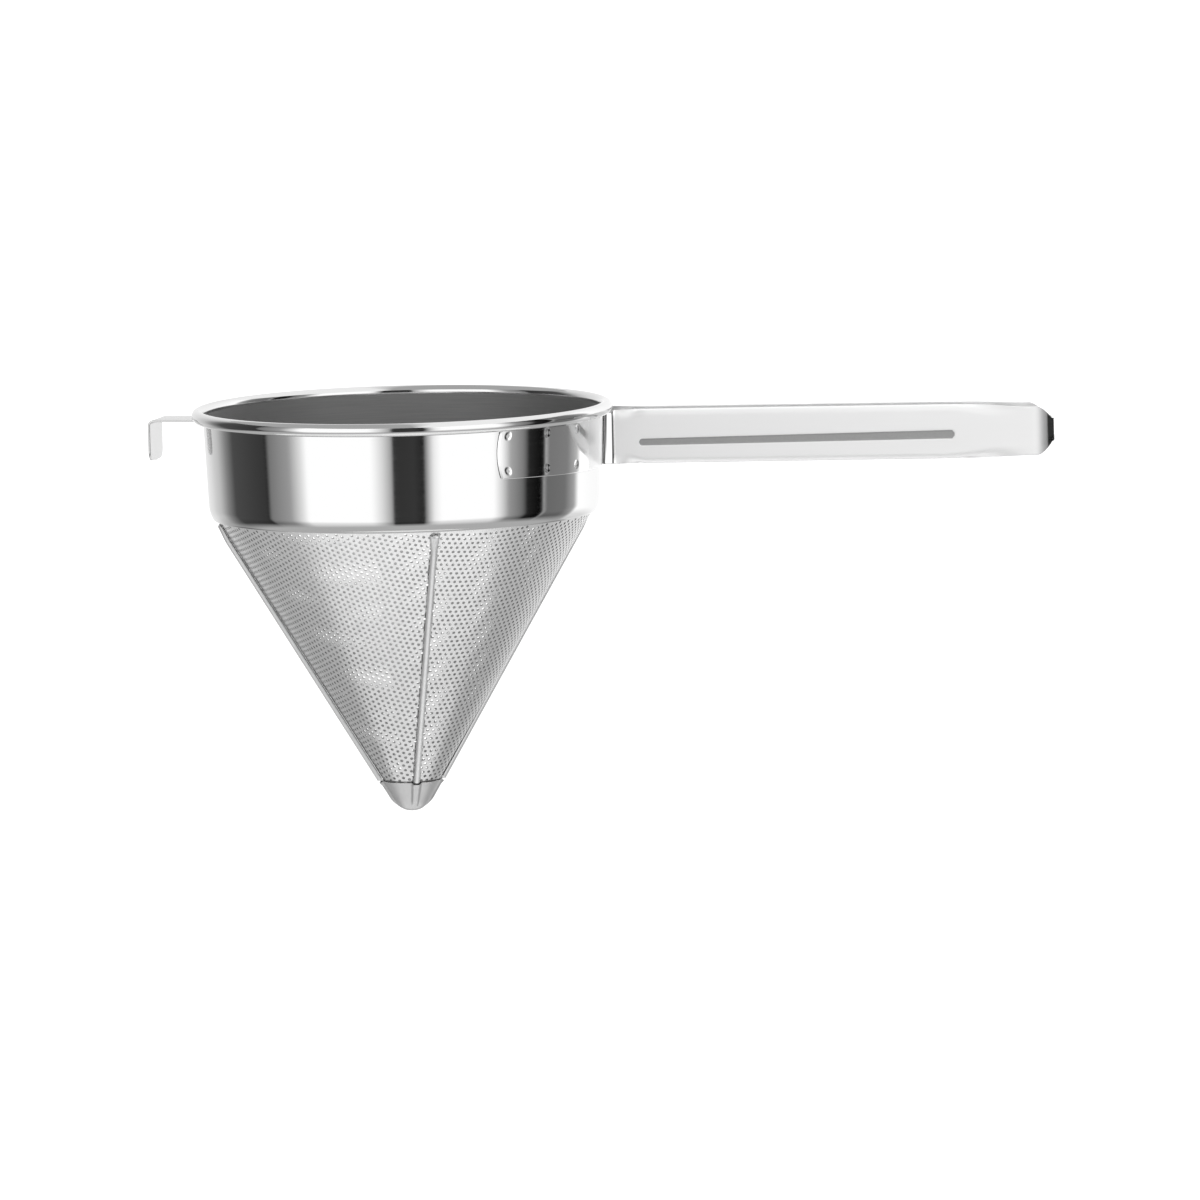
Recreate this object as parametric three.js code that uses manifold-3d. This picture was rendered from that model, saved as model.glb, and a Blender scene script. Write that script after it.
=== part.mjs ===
// A conical strainer: a bright steel band with a rolled rim carries a perforated cone,
// four stiffening ribs and a tip cap, a folded strap handle and a hook for a pot's edge.
// Millimetres, +Z up. The origin is on the bowl's axis, level with the pot edge it hangs on.
import * as THREE from "three";
import { mergeVertices } from "three/addons/utils/BufferGeometryUtils.js";
import Module from "manifold-3d";

const wasm = await Module();
wasm.setup();

// Sizes of the rim and band
const rimWidth = 203.2;
const beadWidth = 6.2;
const bandSheet = 0.8;
const bandDepth = 50;
const bandTaper = 0.042;
const bandTurnIn = 1.7;
const bandTurnInDepth = 6.5;

// Sizes of the perforated cone
const coneSheet = 0.6;
const coneHalfAngle = 30.8;
const coneEndRadius = 8.3;
const skirtLength = 6;
const kneeSetback = 0.9;
const holeWidth = 7;
const holePitch = 24;
const holeMargin = 12;

// Sizes of the ribs
const ribWidth = 3.1;
const ribHeight = 2.3;
const ribSetDown = 1.2;
const ribHeadWidth = 4.8;
const ribHeadLength = 9;
const ribPressedHeight = 0.7;
const ribTurn = 4;

// Sizes of the tip cap
const capSheet = 0.5;
const capOverlap = 9;
const capNose = 6.1;
const capShoulder = 3.6;

// Sizes of the handle
const strapSheet = 1;
const handleLength = 215.8;
const handleWidth = 25;
const handleHeight = 26.2;
const handleDroop = 0.0195;
const handleEdgeRadius = 3;
const flangeLength = 2.5;
const strapDrop = 10.2;
const wingBelow = 12.2;
const wingAngle = 68;
const wingBulge = 2.5;
const rootBend = 2.6;
const rootSweep = 9.5;
const rootSplit = 65;
const shoulderHeight = 23.6;
const loopHeight = 12;
const grooveLength = 153.8;
const grooveStart = 12.1;
const grooveDropStart = 2.6;
const grooveDropEnd = 1;
const grooveNarrow = 3.5;
const grooveWide = 4.4;
const grooveDepth = 0.6;

// Sizes of the hook
const hookSheet = 1;
const hookWidth = 22;
const hookReach = 28.6;
const hookTabLength = 20.5;
const hookLegLength = 16;
const hookBend = 2.5;
const hookCorner = 5;
const hookTurn = 160;

// Clearance between pieces that touch
const fit = 0.3;

// Shared levels and radii
const rad = Math.PI / 180;
const beadRadius = beadWidth / 2;
const beadCentre = rimWidth / 2 - beadRadius;
const wallTop = beadCentre - beadRadius + bandSheet;
const beadLevel = beadRadius + fit + 0.1 + hookSheet;
const coneSlope = Math.tan(coneHalfAngle * rad);
const coneSin = Math.sin(coneHalfAngle * rad);
const coneCos = Math.cos(coneHalfAngle * rad);
const kneeDepth = bandDepth - kneeSetback;
const skirtRadius = bandRadius(bandDepth) - bandSheet - fit;
const coneEndDepth = kneeDepth + (skirtRadius - coneEndRadius) / coneSlope;
const capTopDepth = coneEndDepth - capOverlap;
const ringSteps = 60;
const coneSteps = 48;

// Height of a depth that is measured down from the middle of the rim bead
function level(depth) {
  return beadLevel - depth;
}

// Outside radius of the band's wall: a slight taper that turns in at the bottom
function bandRadius(depth) {
  const turn = Math.max(0, (depth - bandDepth + bandTurnInDepth) / bandTurnInDepth);
  return wallTop - bandTaper * depth - bandTurnIn * turn * turn;
}

// Outside radius of the perforated cone
function coneRadius(depth) {
  return skirtRadius - coneSlope * (depth - kneeDepth);
}

// A point at a radius, an angle about the bowl's axis and a depth
function around(radius, angle, depth) {
  return new THREE.Vector3(radius * Math.cos(angle), radius * Math.sin(angle), level(depth));
}

// Eased step from 0 to 1 between two places
function ease(place, from, to) {
  return THREE.MathUtils.smoothstep(place, from, to);
}

// Joins coincident corners, and turns the faces outward where the solid is inside out
function welded(geometry) {
  const bare = geometry.clone();
  bare.deleteAttribute("normal");
  bare.deleteAttribute("uv");
  const joined = mergeVertices(bare, 1e-4);
  const p = joined.getAttribute("position");
  const index = Array.from(joined.index.array);
  const kept = [];
  const corner = [0, 1, 2].map(() => new THREE.Vector3());
  let volume = 0;
  for (let i = 0; i < index.length; i += 3) {
    const face = index.slice(i, i + 3);
    if (new Set(face).size < 3) continue;
    face.forEach((v, k) => corner[k].fromBufferAttribute(p, v));
    volume += corner[0].dot(corner[1].clone().cross(corner[2]));
    kept.push(face);
  }
  if (volume < 0) kept.forEach((face) => face.reverse());
  joined.setIndex(kept.flat());
  joined.computeVertexNormals();
  return joined;
}

// Revolves a closed profile of [radius, depth] pairs about the bowl's axis
function turned(profile, steps, start = 0) {
  const points = profile.map(([r, depth]) => new THREE.Vector2(r, level(depth)));
  return new THREE.LatheGeometry(points, steps, start).rotateX(Math.PI / 2);
}

// A bent sheet between two grids of points, one for each face, station by station
function sheet(outer, inner) {
  const across = outer[0].length;
  const places = [...outer.flat(), ...inner.flat()];
  const back = outer.length * across;
  const faces = [];
  const quad = (a, b, c, d) => faces.push(a, b, c, a, c, d);
  for (let s = 0; s + 1 < outer.length; s++) {
    const a = s * across;
    const b = a + across;
    for (let i = 0; i + 1 < across; i++) {
      quad(a + i, b + i, b + i + 1, a + i + 1);
      quad(back + a + i, back + a + i + 1, back + b + i + 1, back + b + i);
    }
    quad(a, back + a, back + b, b);
    quad(a + across - 1, b + across - 1, back + b + across - 1, back + a + across - 1);
  }
  const last = back - across;
  for (let i = 0; i + 1 < across; i++) {
    quad(i, i + 1, back + i + 1, back + i);
    quad(last + i, back + last + i, back + last + i + 1, last + i + 1);
  }
  const geometry = new THREE.BufferGeometry().setFromPoints(places);
  geometry.setIndex(faces);
  return geometry;
}

// Solids for cutting and joining
function solid(geometry) {
  const shape = welded(geometry);
  const vertProperties = new Float32Array(shape.getAttribute("position").array);
  const triVerts = new Uint32Array(shape.index.array);
  return new wasm.Manifold(new wasm.Mesh({ numProp: 3, vertProperties, triVerts }));
}

function geometryOf(shape) {
  const mesh = shape.getMesh();
  const geometry = new THREE.BufferGeometry();
  geometry.setAttribute("position", new THREE.BufferAttribute(mesh.vertProperties, 3));
  geometry.setIndex(new THREE.BufferAttribute(mesh.triVerts, 1));
  return geometry;
}

function joinedSolids(shapes) {
  return shapes.reduce((sum, shape) => sum.add(shape));
}

// The band is one sheet, and its top edge curls outward and down into the rim bead
function rimBand() {
  const curlEnd = -118 * rad;
  const curlSteps = 8;
  const wallDepths = [bandDepth, bandDepth - bandTurnInDepth / 3];
  wallDepths.push(bandDepth - (bandTurnInDepth * 2) / 3, bandDepth - bandTurnInDepth);
  const curl = (radius, angle) => [
    beadCentre + radius * Math.cos(angle),
    -radius * Math.sin(angle),
  ];
  const curlAt = (k) => Math.PI + (k / curlSteps) * (curlEnd - Math.PI);
  const inside = wallDepths.map((depth) => [bandRadius(depth) - bandSheet, depth]);
  const outside = wallDepths.map((depth) => [bandRadius(depth), depth]).reverse();
  const curlOutside = [];
  const curlInside = [];
  for (let k = 0; k <= curlSteps; k++) {
    curlOutside.push(curl(beadRadius, curlAt(k)));
    curlInside.unshift(curl(beadRadius - bandSheet, curlAt(k)));
  }
  const profile = [...inside, ...curlOutside, ...curlInside, ...outside];
  profile.push(profile[0]);
  return turned(profile, ringSteps);
}

// Six-sided holes in staggered rows, square to the cone, in the four panels between the ribs
function coneHoles() {
  const rowPitch = holePitch * Math.sin(60 * rad);
  const slant = (kneeDepth - capTopDepth) / -coneCos - holeMargin;
  const cutters = [];
  for (let along = holeMargin; along <= slant; along += rowPitch) {
    const depth = kneeDepth + along * coneCos;
    const radius = coneRadius(depth);
    const count = Math.max(1, Math.round((radius * Math.PI) / 2 / holePitch));
    for (let panel = 0; panel < 4; panel++) {
      for (let k = 0; k < count; k++) {
        const angle = (ribTurn + 90 * (panel + (k + 0.5) / count)) * rad;
        const hole = new THREE.CylinderGeometry(holeWidth / 2, holeWidth / 2, 8, 6);
        hole.rotateZ(-(90 + coneHalfAngle) * rad);
        hole.rotateX(Math.PI / 2);
        hole.translate(radius, 0, level(depth));
        hole.rotateZ(angle);
        cutters.push(solid(hole));
      }
    }
  }
  return joinedSolids(cutters);
}

// The perforated sheet: a short upright skirt inside the band, then the cone down to its open end
function strainerCone() {
  const skirtTop = kneeDepth - skirtLength;
  const wall = coneSheet / coneCos;
  const profile = [
    [skirtRadius, skirtTop],
    [skirtRadius, kneeDepth],
    [coneEndRadius, coneEndDepth],
    [coneEndRadius - wall, coneEndDepth],
    [skirtRadius - coneSheet, kneeDepth + (wall - coneSheet) / -coneSlope],
    [skirtRadius - coneSheet, skirtTop],
    [skirtRadius, skirtTop],
  ];
  const cone = turned(profile, coneSteps, (90 + ribTurn) * rad);
  return geometryOf(solid(cone).subtract(coneHoles()));
}

// A half-round rib down the cone: a flattened head at the top, pressed flat under the cap
function rib(turn) {
  const headDepth = bandDepth + ribSetDown;
  const tailDepth = coneEndDepth - 2.5;
  const pressedFrom = capTopDepth - 3.2;
  const pressedTo = capTopDepth - 0.1;
  const depths = [headDepth, headDepth + 2.5, headDepth + 5, headDepth + ribHeadLength];
  depths.push((headDepth + pressedFrom) / 2, pressedFrom, (pressedFrom + pressedTo) / 2);
  depths.push(pressedTo, tailDepth);
  const outer = [];
  const inner = [];
  for (const depth of depths) {
    const head = 1 - ease(depth, headDepth, headDepth + ribHeadLength);
    const pressed = ease(depth, pressedFrom, pressedTo);
    const half = (ribWidth + (ribHeadWidth - ribWidth) * head) / 2;
    const full = THREE.MathUtils.lerp(ribHeight, ribPressedHeight, Math.max(0.5 * head, pressed));
    const foot = around(coneRadius(depth), turn * rad, depth);
    const out = new THREE.Vector3(coneCos * Math.cos(turn * rad), coneCos * Math.sin(turn * rad), -coneSin);
    const side = new THREE.Vector3(-Math.sin(turn * rad), Math.cos(turn * rad), 0);
    const top = [];
    const base = [];
    for (let k = 0; k <= 4; k++) {
      const across = -Math.cos((k / 4) * Math.PI);
      const height = full * (0.3 + 0.7 * Math.sqrt(Math.max(0, 1 - across * across)));
      const place = foot.clone().addScaledVector(side, half * across);
      base.push(place.clone().addScaledVector(out, fit));
      top.push(place.clone().addScaledVector(out, fit + height));
    }
    outer.push(top);
    inner.push(base);
  }
  return sheet(outer, inner);
}

// The pressed cup over the cone's open end, with a bulge over each rib
function tipCap() {
  const capFloor = coneEndDepth + capNose;
  const side = (depth, offset) => [coneRadius(depth) + offset / coneCos, depth];
  const straightEnd = coneEndDepth - 0.5;
  const wall = (offset, floor) => {
    const from = side(straightEnd, offset);
    const nose = new THREE.CubicBezierCurve(
      new THREE.Vector2(...from),
      new THREE.Vector2(from[0] - capShoulder * coneSin, from[1] + capShoulder * coneCos),
      new THREE.Vector2(from[0] * 0.6, floor),
      new THREE.Vector2(0, floor),
    );
    const depths = [capTopDepth, capTopDepth + capOverlap * 0.35, capTopDepth + capOverlap * 0.7];
    const nosePoints = nose.getPoints(4).map((p) => [p.x, p.y]);
    return [...depths.map((depth) => side(depth, offset)), ...nosePoints];
  };
  const outside = wall(fit + capSheet, capFloor);
  const inside = wall(fit, capFloor - capSheet);
  const cup = turned([...outside.reverse(), ...inside], 48, (90 + ribTurn) * rad);
  const p = cup.getAttribute("position");
  const bulge = (ribPressedHeight + fit + 0.1) / coneCos;
  for (let i = 0; i < p.count; i++) {
    const radius = Math.hypot(p.getX(i), p.getY(i));
    if (radius < 0.01) continue;
    const depth = beadLevel - p.getZ(i);
    const angle = Math.atan2(p.getY(i), p.getX(i)) / rad - ribTurn;
    const fromRib = Math.abs(angle - 90 * Math.round(angle / 90)) * rad * radius;
    const over = 1 - ease(fromRib, ribWidth * 0.65, ribWidth * 1.5);
    const fade = 1 - ease(depth, coneEndDepth - 1, coneEndDepth + 4.5);
    const grown = (radius + bulge * over * fade) / radius;
    p.setX(i, p.getX(i) * grown);
    p.setY(i, p.getY(i) * grown);
  }
  return cup;
}

// Plan of the handle's folded strap, from one wing's end, where it leaves the band in a tight
// bend and a longer sweep, and round the loop to the other:
// each station has a place on the outer face, the face's direction, and how far along it is
function strapPlan() {
  const wingDepth = strapDepth(beadCentre / 2);
  const half = handleWidth / 2;
  const wingRadius = bandRadius(wingDepth) + fit + strapSheet;
  const split = rootSplit * rad;
  const bendY = half + rootSweep - (rootSweep - rootBend) * Math.sin(split);
  const bendX = Math.sqrt((wingRadius + rootBend) ** 2 - bendY ** 2);
  const filletX = bendX + (rootSweep - rootBend) * Math.cos(split);
  const filletAngle = Math.atan2(bendY, bendX);
  const loopX = rimWidth / 2 + handleLength - half;
  const side = [];
  const wingSteps = 10;
  for (let k = 0; k <= wingSteps; k++) {
    const along = 1 - k / wingSteps;
    const angle = filletAngle + along * (wingAngle * rad - filletAngle);
    const place = [wingRadius * Math.cos(angle), wingRadius * Math.sin(angle)];
    side.push({ place, face: angle, wing: 1, along });
  }
  for (let k = 1; k <= 6; k++) {
    const tight = k <= 3;
    const from = tight ? filletAngle : split;
    const turn = from + ((tight ? k : k - 3) / 3) * ((tight ? split : Math.PI / 2) - from);
    const [x, y, radius] = tight ? [bendX, bendY, rootBend] : [filletX, half + rootSweep, rootSweep];
    const place = [x - radius * Math.cos(turn), y - radius * Math.sin(turn)];
    side.push({ place, face: turn, wing: 1 - ease(k, 0, 6), along: 0 });
  }
  const straight = [3, 6, 9, 12, 17, 40, 95, 150, loopX - filletX - 42, loopX - filletX - 32];
  straight.push(loopX - filletX - 23, loopX - filletX - 14, loopX - filletX - 5);
  for (const step of straight) {
    side.push({ place: [filletX + step, half], face: Math.PI / 2, wing: 0, along: 0 });
  }
  const loop = [0, 10, 20, 30, 40, 50, 65, 90];
  for (const turn of loop) {
    const face = (90 - turn) * rad;
    const place = [loopX + half * Math.cos(face), half * Math.sin(face)];
    side.push({ place, face, wing: 0, along: 0, turn });
  }
  const mirrored = side.slice(0, -1).map((s) => ({
    ...s,
    place: [s.place[0], -s.place[1]],
    face: -s.face,
  }));
  return { stations: [...side, ...mirrored.reverse()], filletX, loopX, wingDepth };
}

// Depth of the strap's middle line, which droops steadily from the bowl's axis to the loop
function strapDepth(x) {
  return beadRadius + strapDrop + handleDroop * x;
}

// How far the strap reaches above and below its middle line at a station: its wings stay
// clear under the rim bead, and the loop is cut narrower than the handle
function strapReach(station, plan) {
  const x = station.place[0];
  const radius = Math.hypot(...station.place);
  const nearest = THREE.MathUtils.clamp(beadCentre, radius - strapSheet, radius) - beadCentre;
  const bead = Math.sqrt(Math.max(0, beadRadius ** 2 - nearest ** 2)) + fit + 0.1;
  const shoulder = ease(x, plan.loopX - 32, plan.loopX + 2);
  const height = THREE.MathUtils.lerp(handleHeight, shoulderHeight, shoulder);
  const narrowed = station.turn === undefined ? 0 : ease(station.turn, 10, 64);
  const handleHalf = THREE.MathUtils.lerp(height, loopHeight, narrowed) / 2;
  const wing = 1 - ease(x, plan.filletX - 60, plan.filletX + 15);
  const below = THREE.MathUtils.lerp(handleHalf, wingBelow, wing);
  return { up: Math.min(handleHalf, strapDepth(x) - bead), down: below };
}

// The strap's section at a station, from its lower edge to its upper edge: a flat web whose
// edges turn in along the handle
function strapSection(station, plan) {
  const x = station.place[0];
  const grown = ease(x, plan.filletX, plan.filletX + 17);
  const faded = ease(x, plan.loopX - 42, plan.loopX - 2);
  const turnIn = grown * (1 - faded);
  const bentArc = ((handleEdgeRadius - strapSheet / 2) * Math.PI) / 2;
  const angle = Math.max(0.001, (turnIn * Math.PI) / 2);
  const halfSection = (reach) => {
    const arc = THREE.MathUtils.lerp(Math.min(bentArc, reach * 0.3), bentArc, turnIn);
    const flange = THREE.MathUtils.lerp(1, flangeLength, turnIn);
    const radius = arc / angle;
    const rise = radius * Math.sin(angle) + flange * Math.cos(angle);
    const web = reach - rise - (strapSheet / 2) * Math.sin(angle);
    const points = [0, 0.5, 1].map((share) => ({
      up: web + radius * Math.sin(angle * share),
      in: radius * (1 - Math.cos(angle * share)),
      lean: angle * share,
    }));
    const tip = points[2];
    const edge = { up: tip.up + flange * Math.cos(angle), in: tip.in + flange * Math.sin(angle) };
    return [...points, { ...edge, lean: angle }];
  };
  const reach = strapReach(station, plan);
  const lower = halfSection(reach.down).map((p) => ({ up: -p.up, in: p.in, lean: -p.lean }));
  return [...lower.reverse(), { up: 0, in: 0, lean: 0 }, ...halfSection(reach.up)];
}

// A stiffening groove pressed into one side of the handle, as a bar of one height and depth
function grooveBar(plan, margin, from, to) {
  const startX = plan.filletX + grooveStart;
  const endX = startX + grooveLength;
  const narrow = grooveNarrow / 2 + margin;
  const wide = grooveWide / 2 + margin;
  const startZ = level(strapDepth(startX) + grooveDropStart);
  const endZ = level(strapDepth(endX) + grooveDropEnd);
  const outline = new THREE.Shape();
  outline.absarc(startX + grooveNarrow / 2, startZ, narrow, Math.PI / 2, (3 * Math.PI) / 2, false);
  outline.absarc(endX - grooveWide / 2, endZ, wide, -Math.PI / 2, Math.PI / 2, false);
  const bar = new THREE.ExtrudeGeometry(outline, {
    depth: to - from,
    bevelEnabled: false,
    curveSegments: 5,
  });
  return bar.rotateX(Math.PI / 2).translate(0, to, 0);
}

// The handle: one strap whose flat wings hug the band, folded into a loop at the far end
function handle() {
  const plan = strapPlan();
  const outer = [];
  const inner = [];
  for (const station of plan.stations) {
    const middle = strapDepth(station.place[0]);
    const section = strapSection(station, plan);
    const edge = section[section.length - 1].up;
    const rows = [[], []];
    for (const p of section) {
      const depth = middle - p.up;
      const taper = station.wing * (bandRadius(depth) - bandRadius(plan.wingDepth));
      const bulge = (station.along ** 4 * wingBulge * (p.up / edge) ** 2) / plan.filletX;
      const turn = -Math.sign(station.face) * bulge;
      [strapSheet / 2, -strapSheet / 2].forEach((skin, k) => {
        const out = taper - strapSheet / 2 - p.in + skin * Math.cos(p.lean);
        const x = station.place[0] + out * Math.cos(station.face);
        const y = station.place[1] + out * Math.sin(station.face);
        const z = level(depth) + skin * Math.sin(p.lean);
        const place = new THREE.Vector3(x, y, z);
        rows[k].push(place.applyAxisAngle(new THREE.Vector3(0, 0, 1), turn));
      });
    }
    outer.push(rows[0]);
    inner.push(rows[1]);
  }
  let strap = solid(sheet(outer, inner));
  const face = handleWidth / 2;
  const back = face - strapSheet;
  for (const sign of [1, -1]) {
    const swell = grooveBar(plan, 0.6, back - grooveDepth, back + 0.2);
    const press = grooveBar(plan, 0, face - grooveDepth, face + 1);
    if (sign < 0) [swell, press].forEach((bar) => bar.scale(1, -1, 1));
    strap = strap.add(solid(swell)).subtract(solid(press));
  }
  return geometryOf(strap);
}

// Line through corners in the plane of radius and depth, each corner rounded
function roundedLine(corners, bend, steps) {
  const line = [corners[0]];
  for (let i = 1; i + 1 < corners.length; i++) {
    const here = new THREE.Vector2(...corners[i]);
    const before = new THREE.Vector2(...corners[i - 1]).sub(here).normalize();
    const after = new THREE.Vector2(...corners[i + 1]).sub(here).normalize();
    const half = Math.acos(before.dot(after)) / 2;
    const centre = here.clone().add(
      before.clone().add(after).normalize().multiplyScalar(bend / Math.sin(half)),
    );
    const start = here.clone().addScaledVector(before, bend / Math.tan(half)).sub(centre);
    const end = here.clone().addScaledVector(after, bend / Math.tan(half)).sub(centre);
    let sweep = end.angle() - start.angle();
    if (sweep > Math.PI) sweep -= 2 * Math.PI;
    if (sweep < -Math.PI) sweep += 2 * Math.PI;
    for (let k = 0; k <= steps; k++) {
      const spoke = start.clone().rotateAround(new THREE.Vector2(), (sweep * k) / steps);
      line.push([centre.x + spoke.x, centre.y + spoke.y]);
    }
  }
  line.push(corners[corners.length - 1]);
  return line;
}

// The hook: a leg curved to the band, a bridge under the bead, and a tab that hangs down
function hook() {
  const middle = hookSheet / 2;
  const bridge = beadRadius + fit + 0.1 + middle;
  const legEnd = bridge + hookLegLength;
  const legAt = (depth) => bandRadius(depth) + fit + middle;
  const tabRadius = bandRadius(bridge) + hookReach - middle;
  const tabEnd = bridge - middle + hookTabLength;
  const corners = [
    [legAt(legEnd), legEnd],
    [legAt(bridge), bridge],
    [tabRadius, bridge],
    [tabRadius, tabEnd - hookCorner],
  ];
  const line = roundedLine(corners, hookBend, 5);
  const [rx, rz] = line[line.length - 1];
  [0.38, 0.71, 0.92, 1].forEach((down) => line.push([rx, rz + hookCorner * down]));
  const outer = [];
  const inner = [];
  line.forEach(([radius, depth], i) => {
    const [r0, d0] = line[Math.max(0, i - 1)];
    const [r1, d1] = line[Math.min(line.length - 1, i + 1)];
    const run = Math.hypot(r1 - r0, d1 - d0);
    const out = [-(d1 - d0) / run, (r1 - r0) / run];
    const drop = Math.max(0, depth - rz) / hookCorner;
    const cut = depth > rz && radius > tabRadius - 0.01 ? 1 - Math.sqrt(Math.max(0, 1 - drop * drop)) : 0;
    const half = hookWidth / 2 - hookCorner * cut;
    const hug = 1 - ease(radius, legAt(bridge), legAt(bridge) + 10);
    const rows = [[], []];
    for (let k = -2; k <= 2; k++) {
      const across = (half * k) / 2;
      const sag = hug * (radius - Math.sqrt(radius * radius - across * across));
      [middle, -middle].forEach((skin, n) => {
        const place = new THREE.Vector3(radius - sag + skin * out[0], across, level(depth + skin * out[1]));
        rows[n].push(place.applyAxisAngle(new THREE.Vector3(0, 0, 1), hookTurn * rad));
      });
    }
    outer.push(rows[0]);
    inner.push(rows[1]);
  });
  return sheet(outer, inner);
}

// Steel in its finishes: mirror-bright band and straps, duller sheet and pressings
function steel(color, roughness) {
  return new THREE.MeshStandardMaterial({ color, metalness: 1, roughness });
}

const group = new THREE.Group();
function place(name, geometry, material) {
  const mesh = new THREE.Mesh(welded(geometry), material);
  mesh.name = name;
  group.add(mesh);
}

place("rim_band", rimBand(), steel(0xd9dadb, 0.08));
place("strainer_cone", strainerCone(), steel(0xbfc0c1, 0.3));
place("rib_front", rib(ribTurn - 90), steel(0xc6c7c8, 0.25));
place("rib_right", rib(ribTurn), steel(0xc6c7c8, 0.25));
place("rib_back", rib(ribTurn + 90), steel(0xc6c7c8, 0.25));
place("rib_left", rib(ribTurn + 180), steel(0xc6c7c8, 0.25));
place("tip_cap", tipCap(), steel(0xb4b5b6, 0.3));
place("handle", handle(), steel(0xdcdddd, 0.2));
place("hook", hook(), steel(0xd9dada, 0.15));

export default group;
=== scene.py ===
import math

import bmesh
import bpy
import numpy as np
from mathutils import Matrix, Vector, geometry


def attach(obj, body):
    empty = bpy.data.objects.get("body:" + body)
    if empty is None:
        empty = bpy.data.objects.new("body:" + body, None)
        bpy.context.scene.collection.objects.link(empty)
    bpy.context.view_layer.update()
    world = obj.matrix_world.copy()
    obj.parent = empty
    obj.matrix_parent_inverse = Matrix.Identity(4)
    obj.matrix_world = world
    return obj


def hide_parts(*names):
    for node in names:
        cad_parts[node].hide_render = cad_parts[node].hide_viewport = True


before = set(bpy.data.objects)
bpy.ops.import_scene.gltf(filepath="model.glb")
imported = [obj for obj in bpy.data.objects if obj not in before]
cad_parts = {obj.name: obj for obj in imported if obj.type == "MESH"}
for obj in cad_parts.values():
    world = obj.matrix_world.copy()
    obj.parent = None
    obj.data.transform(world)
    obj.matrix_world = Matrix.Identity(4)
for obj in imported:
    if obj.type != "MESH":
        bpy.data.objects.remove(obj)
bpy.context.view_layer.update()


# The rim band. One strip of stainless sheet, welded into a ring and rolled: its top edge is
# curled outward and down into a full bead, and its bottom edge is turned in over the cone.
# It is buffed to a mirror outside and is duller inside, where the wheel doesn't reach.

bead_level = 4.5
bead_centre = 98.5
bead_radius = 3.1
band_sheet = 0.8
band_depth = 50.0
turn_in_length = 6.5
band_top_radius = bead_centre - bead_radius + band_sheet


def band_radius(depth):
    """Outside radius in mm, at a depth below the middle of the bead."""
    turn = max(0.0, (depth - band_depth + turn_in_length) / turn_in_length)
    return band_top_radius - 0.042 * depth - 1.7 * turn * turn


def linear(hex_colour):
    """An sRGB colour such as "#c0c0c0" as the linear RGBA that a node takes."""
    parts = [int(hex_colour[i : i + 2], 16) / 255 for i in (1, 3, 5)]
    return tuple(c / 12.92 if c <= 0.04045 else ((c + 0.055) / 1.055) ** 2.4 for c in parts) + (1.0,)


def add_node(tree, kind, inputs, **settings):
    """Adds a node with its settings; each input takes a value or another node's output."""
    new = tree.nodes.new(kind)
    for name, value in settings.items():
        setattr(new, name, value)
    for name, value in inputs.items():
        if isinstance(value, bpy.types.NodeSocket):
            tree.links.new(value, new.inputs[name])
        else:
            new.inputs[name].default_value = value
    return new


def piece_from(name, points, faces, sharp=40):
    """A mesh piece from points in mm, smooth except across edges sharper than an angle."""
    mesh = bpy.data.meshes.new(name)
    mesh.from_pydata((np.asarray(points) / 1000).tolist(), [], faces)
    mesh.validate()
    mesh.shade_smooth()
    mesh.set_sharp_from_angle(angle=math.radians(sharp))
    piece = bpy.data.objects.new(name, mesh)
    bpy.context.scene.collection.objects.link(piece)
    return piece


def skinned(name, rings, closed=False, sharp=40):
    """Skins closed rings of equal count into one surface. Without closed, a ring that is a
    single place becomes one corner, so the surface ends there."""
    rings = np.asarray(rings, dtype=float)
    count, around = rings.shape[:2]
    points, number = [], []
    for ring in rings:
        if np.ptp(ring, axis=0).max() < 1e-6:
            number.append([len(points)] * around)
            points.append(ring[0])
        else:
            number.append(list(range(len(points), len(points) + around)))
            points.extend(ring)
    faces = []
    for i in range(count if closed else count - 1):
        here, there = number[i], number[(i + 1) % count]
        for j in range(around):
            k = (j + 1) % around
            corners = [here[j], here[k], there[k], there[j]]
            unique = list(dict.fromkeys(corners))
            if len(unique) > 2:
                faces.append(unique)
    return piece_from(name, points, faces, sharp)


def arc(centre, radius, start, end, steps):
    """Places along an arc, angles in degrees."""
    turn = np.radians(np.linspace(start, end, steps + 1))
    return [(centre[0] + radius * math.cos(t), centre[1] + radius * math.sin(t)) for t in turn]


curl_sheet = bead_radius - band_sheet
turn_in = band_depth - turn_in_length
wall = list(np.linspace(0.8, turn_in - 1.5, 8)) + list(np.linspace(turn_in, band_depth - 0.4, 12))
band_profile = [(band_radius(d) - band_sheet, bead_level - d) for d in reversed(wall)]
band_profile += arc((bead_centre, bead_level), bead_radius, 180, -118, 40)
curl_end = math.radians(-118)
curl_mid = (bead_radius + curl_sheet) / 2
edge = (bead_centre + curl_mid * math.cos(curl_end), bead_level + curl_mid * math.sin(curl_end))
band_profile += arc(edge, band_sheet / 2, -118 - 30, -118 - 150, 4)
band_profile += arc((bead_centre, bead_level), curl_sheet, -118, 180, 34)
band_profile += [(band_radius(d), bead_level - d) for d in wall]
foot = band_radius(band_depth - 0.4) - band_sheet / 2
band_profile += arc((foot, bead_level - band_depth + 0.4), band_sheet / 2, -20, -160, 6)


def revolved(profile, steps):
    """The profile at each step of a full turn about the bowl's axis."""
    profile = np.asarray(profile)
    rings = []
    for turn in np.linspace(0, 2 * math.pi, steps, endpoint=False):
        rings.append(np.column_stack([profile[:, 0] * math.cos(turn), profile[:, 0] * math.sin(turn), profile[:, 1]]))
    return rings


rim_band = skinned("rim_band_rolled", revolved(band_profile, 288), closed=True)

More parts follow.
